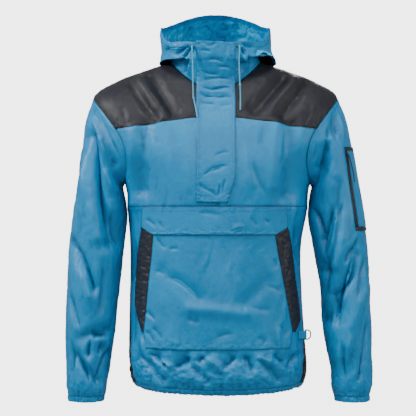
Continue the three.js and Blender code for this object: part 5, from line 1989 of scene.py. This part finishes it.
def tube_rings(path: Array, radius: Array, sides: int, closed: bool = False) -> Array:
    """Rings round a path, with as little twist as the path allows.

    Args:
        path: The points along its middle.
        radius: The rings' radius, or one for each point.
        sides: How many points each ring has.
        closed: Whether the path meets its own start.

    Returns:
        The points of all the rings in order.
    """
    if closed:
        ahead = np.roll(path, -1, axis=0) - np.roll(path, 1, axis=0)
    else:
        ahead = np.gradient(path, axis=0)
    ahead = unit(ahead)
    side = np.cross(ahead[0], (0.3, 0.2, 0.93))
    rings = []
    turns = full_turn(sides)
    for point, along, r in zip(path, ahead, np.broadcast_to(radius, len(path))):
        side = side - along * (side @ along)
        side /= np.linalg.norm(side)
        other = np.cross(along, side)
        rings.append(point + r * (np.cos(turns)[:, None] * side + np.sin(turns)[:, None] * other))
    return np.concatenate(rings)


@dataclass
class ArmPocket:
    """The zipped pocket on the wearer's left sleeve, with its tapes, slider and pull."""

    sleeve: SleeveSurface
    threads: Threads

    def build(self) -> None:
        """Builds the pocket and what is on it."""
        surface = ArmPocketSurface(self.sleeve)
        turn = ARM_POCKET_TAPE / 62
        top, bottom = ARM_POCKET_TOP, ARM_POCKET_BOTTOM
        low, high = bottom + ARM_POCKET_TAPE, top - ARM_POCKET_TAPE
        front, back = ARM_POCKET_FRONT, ARM_POCKET_BACK

        def strip(
            name: str, a: float, b: float, z0: float, z1: float, cells: tuple[int, int], finish: Finish
        ) -> Panel:
            """Builds one rectangle between two turns and two heights."""
            edges = (((a, z0), (b, z0)), ((a, z1), (b, z1)), ((a, z0), (a, z1)), ((b, z0), (b, z1)))
            outline = Outline(*(line(*ends) for ends in edges))
            return panel(name, surface, outline, cells, finish, lift=ARM_POCKET_LIFT)

        main = strip("sleeve_pocket", front - turn, back + turn, low, high, (44, 60), Finish.BLUE)
        zip_tape = strip("sleeve_pocket_zip", front, front - turn, low, high, (6, 60), Finish.TRIM)
        strip("sleeve_pocket_back_tape", back + turn, back, low, high, (6, 60), Finish.TRIM)
        tapes = (
            strip("sleeve_pocket_top_tape", front, back, high, top, (50, 6), Finish.TRIM),
            strip("sleeve_pocket_bottom_tape", front, back, bottom, low, (50, 6), Finish.TRIM),
        )
        self.threads.sew(main, start=(1.6,))
        for tape in tapes:
            self.threads.sew(tape, Finish.GREY_THREAD, bottom=(1.2,), top=(1.2,))
        self.teeth(zip_tape)
        self.slider(surface, front - 0.5 * turn)

    @staticmethod
    def teeth(tape: Panel) -> None:
        """Lays the zip's coil along the middle of its tape."""
        path = tape.edge_line("start", 4, 0.35)
        edges = [(k, k + 1) for k in range(len(path) - 1)]
        mesh = RowOfPieces(Finish.BLACK, 0.0015, 0.0010, 0.0013, 8, 3).realize(path, edges)
        place_object("sleeve_zip_coil", mesh, Finish.BLACK)

    @staticmethod
    def slider(surface: ArmPocketSurface, turn: float) -> None:
        """Builds the slider and its cord pull."""
        point, normal = surface.at(np.array([turn]), np.array([float(SLIDER_AT)]))
        matrix = spot_frame(point[0], normal[0])
        base = ARM_POCKET_LIFT + LAYER_GAP
        rows = ((-4.5, 2.2, 1.0), (-3.4, 2.9, 2.2), (0.0, 2.6, 2.6), (3.2, 3.0, 2.2), (4.5, 2.4, 1.0))
        turns = full_turn(16)
        points = []
        for y, half, high in rows:
            x = half * power(np.cos(turns), 3)
            z = base + 0.5 * high * (1 + power(np.sin(turns), 3))
            points.append(np.stack([x, np.full(16, y), z], axis=1))
        mesh = solid_mesh("slider", through_frame(matrix, np.concatenate(points)), ring_faces(5, 16, False))
        piece = place_object("zip_slider_body", mesh, Finish.BLACK)
        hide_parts("zip_slider")
        out = base + 2.6 + 1.1
        local = ((0, -0.9, out + 0.4), (1.5, -17.4, out + 2.2), (4.5, -37.7, out + 3.5), (4, -58, out + 4.5))
        path = curve_through([tuple(p) for p in through_frame(matrix, np.array(local))], 60)
        rings = tube_rings(path, 1.1, 10)
        mesh = solid_mesh("pull", rings, ring_faces(len(path), 10, False), 60)
        pull = place_object("zip_pull_cord", mesh, Finish.BLACK_CORD)
        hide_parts("zip_pull")


@dataclass
class RingAndTab:
    """The wire D ring and the folded webbing that holds it."""

    body: BodySurface
    threads: Threads

    def matrix(self) -> Matrix:
        """The ring's frame: X out along the tab, Y along the bar."""
        x, z = (np.array([value]) for value in TAB_SPOT)
        spots = FrontSurface.spots(self.body, x, z, QUARTER, BODY["hem"], BODY["neck"])
        point, normal = self.body.base(*spots)[0], self.body.normal(*spots)[0]
        up = Vector((0, 0, 1))
        along = up.cross(Vector(normal)).normalized()
        along.rotate(Matrix.Rotation(-TAB_SPLAY, 3, "Z"))
        away = along.cross(up)
        root = Vector(point) + Vector(normal) * (TAB_SKIN + LAYER_GAP + 0.3) + along * TAB_LONG
        return Matrix.Translation(root) @ Matrix((along, up, away)).transposed().to_4x4()

    def build(self) -> None:
        """Builds the ring and its tab."""
        matrix = self.matrix()
        turns = full_turn(72)
        sine, cosine = np.sin(turns), np.cos(turns)
        x = RING_REACH * np.maximum(sine, 0) ** 0.75
        y = -0.5 * RING_BAR * np.sign(cosine) * np.abs(cosine) ** np.where(sine < 0, 1, 0.72)
        path = through_frame(matrix, np.stack([x, y, np.zeros(72)], axis=1))
        mesh = solid_mesh("ring", tube_rings(path, RING_WIRE, 12, True), ring_faces(72, 12, True), 80)
        ring = place_object("d_ring_wire", mesh, Finish.METAL, RING_NAME)
        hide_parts("d_ring")
        self.tab(matrix)

    def tab(self, matrix: Matrix) -> None:
        """Builds the webbing: a strip that goes round the bar and is sewn back on itself."""
        eye, skin = RING_WIRE + 0.35, TAB_SKIN
        turns = np.linspace(-0.62 * math.pi, 0.62 * math.pi, 28)
        outside = [(math.cos(t) * (eye + skin), math.sin(t) * (eye + skin)) for t in turns]
        outside = outside + [(-3.2, skin * 1.25), (-TAB_LONG, skin), (-TAB_LONG, -skin), (-3.2, -skin * 1.25)]
        round_eye = np.linspace(-0.62 * math.pi, FULL - 0.62 * math.pi, len(outside), endpoint=False)
        inside = [(math.cos(t) * eye, math.sin(t) * eye) for t in round_eye]
        count = len(outside)
        widths = np.array([-1, -0.94, -0.5, 0, 0.5, 0.94, 1]) * 0.5 * TAB_WIDE
        points, faces = [], []
        for k, width in enumerate(widths):
            pinch = 0.9 if abs(k - 3) == 3 else 1.0
            points += [(px, width, pz * pinch) for px, pz in outside] + [(px, width, pz) for px, pz in inside]
        ring = 2 * count
        for k in range(len(widths) - 1):
            for n in range(count):
                m = (n + 1) % count
                faces.append((k * ring + n, k * ring + m, (k + 1) * ring + m, (k + 1) * ring + n))
                a, b = k * ring + count + n, k * ring + count + m
                faces.append((b, a, a + ring, b + ring))
        last = (len(widths) - 1) * ring
        for n in range(count):
            m = (n + 1) % count
            faces.append((m, n, count + n, count + m))
            faces.append((last + n, last + m, last + count + m, last + count + n))
        mesh = solid_mesh("tab", through_frame(matrix, np.array(points)), faces, 50)
        if Panel.signed_volume(np.array([v.co for v in mesh.vertices]), np.array(faces)) < 0:
            mesh.flip_normals()
        piece = place_object("ring_tab_webbing", mesh, Finish.BLUE)
        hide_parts("ring_tab")
        for x in (-4.2, -8.5):
            row = np.array([(x, y, 0.95) for y in np.linspace(-7.5, 7.5, 12)])
            self.threads.add(through_frame(matrix, row))


@dataclass
class Drawcords:
    """The hood's eyelets, cords and knots."""

    hood: HoodSurface

    def build(self) -> None:
        """Builds both cords."""
        for side in Side:
            self.one(side)

    def one(self, side: Side) -> None:
        """Builds one eyelet, its cord with the free end, and the knot."""
        x, z = side.value * EYELET_SPOT[0], EYELET_SPOT[1]
        spots = FrontSurface.spots(self.hood, np.array([x]), np.array([z]), 1.0, 0.0, HOOD["edge"])
        point = self.hood.base(*spots)[0]
        ring = np.array([HOOD["casing"]])
        turn = solve(lambda t: self.hood.base(t, ring)[:, 0], np.array([float(x)]), -1, 1)
        normal = self.hood.normal(turn, ring)[0]
        matrix = spot_frame(point, normal)
        turns = full_turn(40)
        circle = np.stack([3.3 * np.cos(turns), 3.3 * np.sin(turns), np.full(40, 0.9)], axis=1)
        rings = tube_rings(through_frame(matrix, circle), 0.85, 10, True)
        mesh = solid_mesh("eyelet", rings, ring_faces(40, 10, True), 80)
        eyelet = place_object(f"eyelet_{side.word}_ring", mesh, Finish.EYELET)
        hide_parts(f"eyelet_{side.word}")
        route = [tuple(point + normal * out) for out in (LAYER_GAP, 4.4)] + list(CORD_ROUTES[side.word])
        path = curve_through(route, 150)
        rings = tube_rings(path, CORD_RADIUS, 14)
        mesh = solid_mesh("cord", rings, ring_faces(len(path), 14, False), 70)
        cord = place_object(f"drawcord_{side.word}_cord", mesh, Finish.CORD)
        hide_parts(f"drawcord_{side.word}", f"drawcord_tail_{side.word}")
        knot = self.knot(side)

    @staticmethod
    def knot(side: Side) -> bpy.types.Object:
        """Builds the overhand knot as turns of cord pulled tight."""
        turns = full_turn(90)
        radius = 1.5 + 0.55 * np.cos(3 * turns)
        x, y = radius * np.cos(2 * turns), radius * np.sin(2 * turns)
        path = np.stack([x, y, 1.25 * np.sin(3 * turns)], axis=1)
        path = path + np.array(KNOT_AT[side.word])
        mesh = solid_mesh("knot", tube_rings(path, 1.15, 10, True), ring_faces(90, 10, True), 80)
        piece = place_object(f"drawcord_{side.word}_knot", mesh, Finish.CORD)
        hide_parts(f"drawcord_knot_{side.word}")
        return piece


@dataclass(frozen=True)
class AreaLight:
    """A soft studio light aimed at the garment's middle."""

    name: str
    spot: tuple[float, float, float]
    size: float
    power: float

    def build(self) -> None:
        """Adds the light."""
        data = bpy.data.lights.new(self.name, "AREA")
        data.shape = "DISK"
        data.size = self.size
        data.energy = self.power
        light = bpy.data.objects.new(self.name, data)
        light.location = self.spot
        aim = Vector((0, 0, -0.3)) - Vector(self.spot)
        light.rotation_euler = aim.to_track_quat("-Z", "Y").to_euler()
        bpy.context.scene.collection.objects.link(light)


class Studio:
    """The camera, floor and lights, in metres."""

    LENS = 120.75
    CAMERA_SPOT = (-0.0161, -3.0, -0.301)
    BOWL = ((3.8, -1.25), (4.6, -1.1), (5.2, -0.6), (5.6, 0.2), (5.8, 2.0), (5.8, 6.0))
    BOWL_SIDES = 64
    BOWL_LIGHT = 3.8
    SKY_LIGHT = 0.35
    LIGHTS = (
        AreaLight("KeyLight", (-2.2, -1.0, 1.3), 0.8, 72),
        AreaLight("FillLight", (2.2, -1.2, 0.3), 0.8, 15),
        AreaLight("FrontLight", (0.2, -3.0, 1.0), 1.0, 29),
        AreaLight("TopLight", (0.1, -1.2, 2.3), 0.9, 36),
        AreaLight("BackLight", (0.4, 2.6, 1.0), 1.0, 30),
    )

    def camera(self) -> None:
        """Adds the camera at the photograph's angle."""
        data = bpy.data.cameras.new("Camera")
        data.lens = self.LENS
        data.clip_end = 50
        camera = bpy.data.objects.new("Camera", data)
        camera.location = self.CAMERA_SPOT
        camera.rotation_euler = (QUARTER, 0, 0)
        bpy.context.scene.collection.objects.link(camera)
        bpy.context.scene.camera = camera

    def build(self) -> None:
        """Adds the floor with its curved rim, the world and the lights."""
        sides = self.BOWL_SIDES
        turns = full_turn(sides)
        points = [(r * math.cos(turn), r * math.sin(turn), z) for r, z in self.BOWL for turn in turns]
        faces = [tuple(range(sides))]
        for ring in range(len(self.BOWL) - 1):
            for k in range(sides):
                low, after = ring * sides + k, ring * sides + (k + 1) % sides
                faces.append((low, low + sides, after + sides, after))
        mesh = bpy.data.meshes.new("Floor")
        mesh.from_pydata(points, [], faces)
        mesh.shade_smooth()
        floor = bpy.data.objects.new("Floor", mesh)
        paper, _, glow = new_material("LitPaper")
        glow.inputs["Base Color"].default_value = (0.97, 0.97, 0.97, 1)
        glow.inputs["Emission Color"].default_value = (1, 1, 1, 1)
        glow.inputs["Emission Strength"].default_value = self.BOWL_LIGHT
        mesh.materials.append(paper)
        bpy.context.scene.collection.objects.link(floor)
        floor.visible_glossy = False
        floor.visible_diffuse = False
        world = bpy.data.worlds.new("World")
        bpy.context.scene.world = world
        world.use_nodes = True
        sky = world.node_tree.nodes["Background"]
        sky.inputs["Color"].default_value = (1, 1, 1, 1)
        sky.inputs["Strength"].default_value = self.SKY_LIGHT
        for light in self.LIGHTS:
            light.build()


def main() -> None:
    """Builds the whole garment in order."""
    studio = Studio()
    studio.camera()
    body = BodySurface()
    hood = HoodSurface(body)
    threads = Threads()
    Drawcords(hood).build()
    sleeves = {side: Sleeve(body, side, threads).build() for side in Side}
    ArmPocket(sleeves[Side.LEFT], threads).build()
    Torso(body, threads).build()
    Hood(hood, threads).build()
    FrontPieces(body, hood, threads).build()
    RingAndTab(body, threads).build()
    threads.build()
    studio.build()
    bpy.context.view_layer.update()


if __name__ == "__main__":
    main()
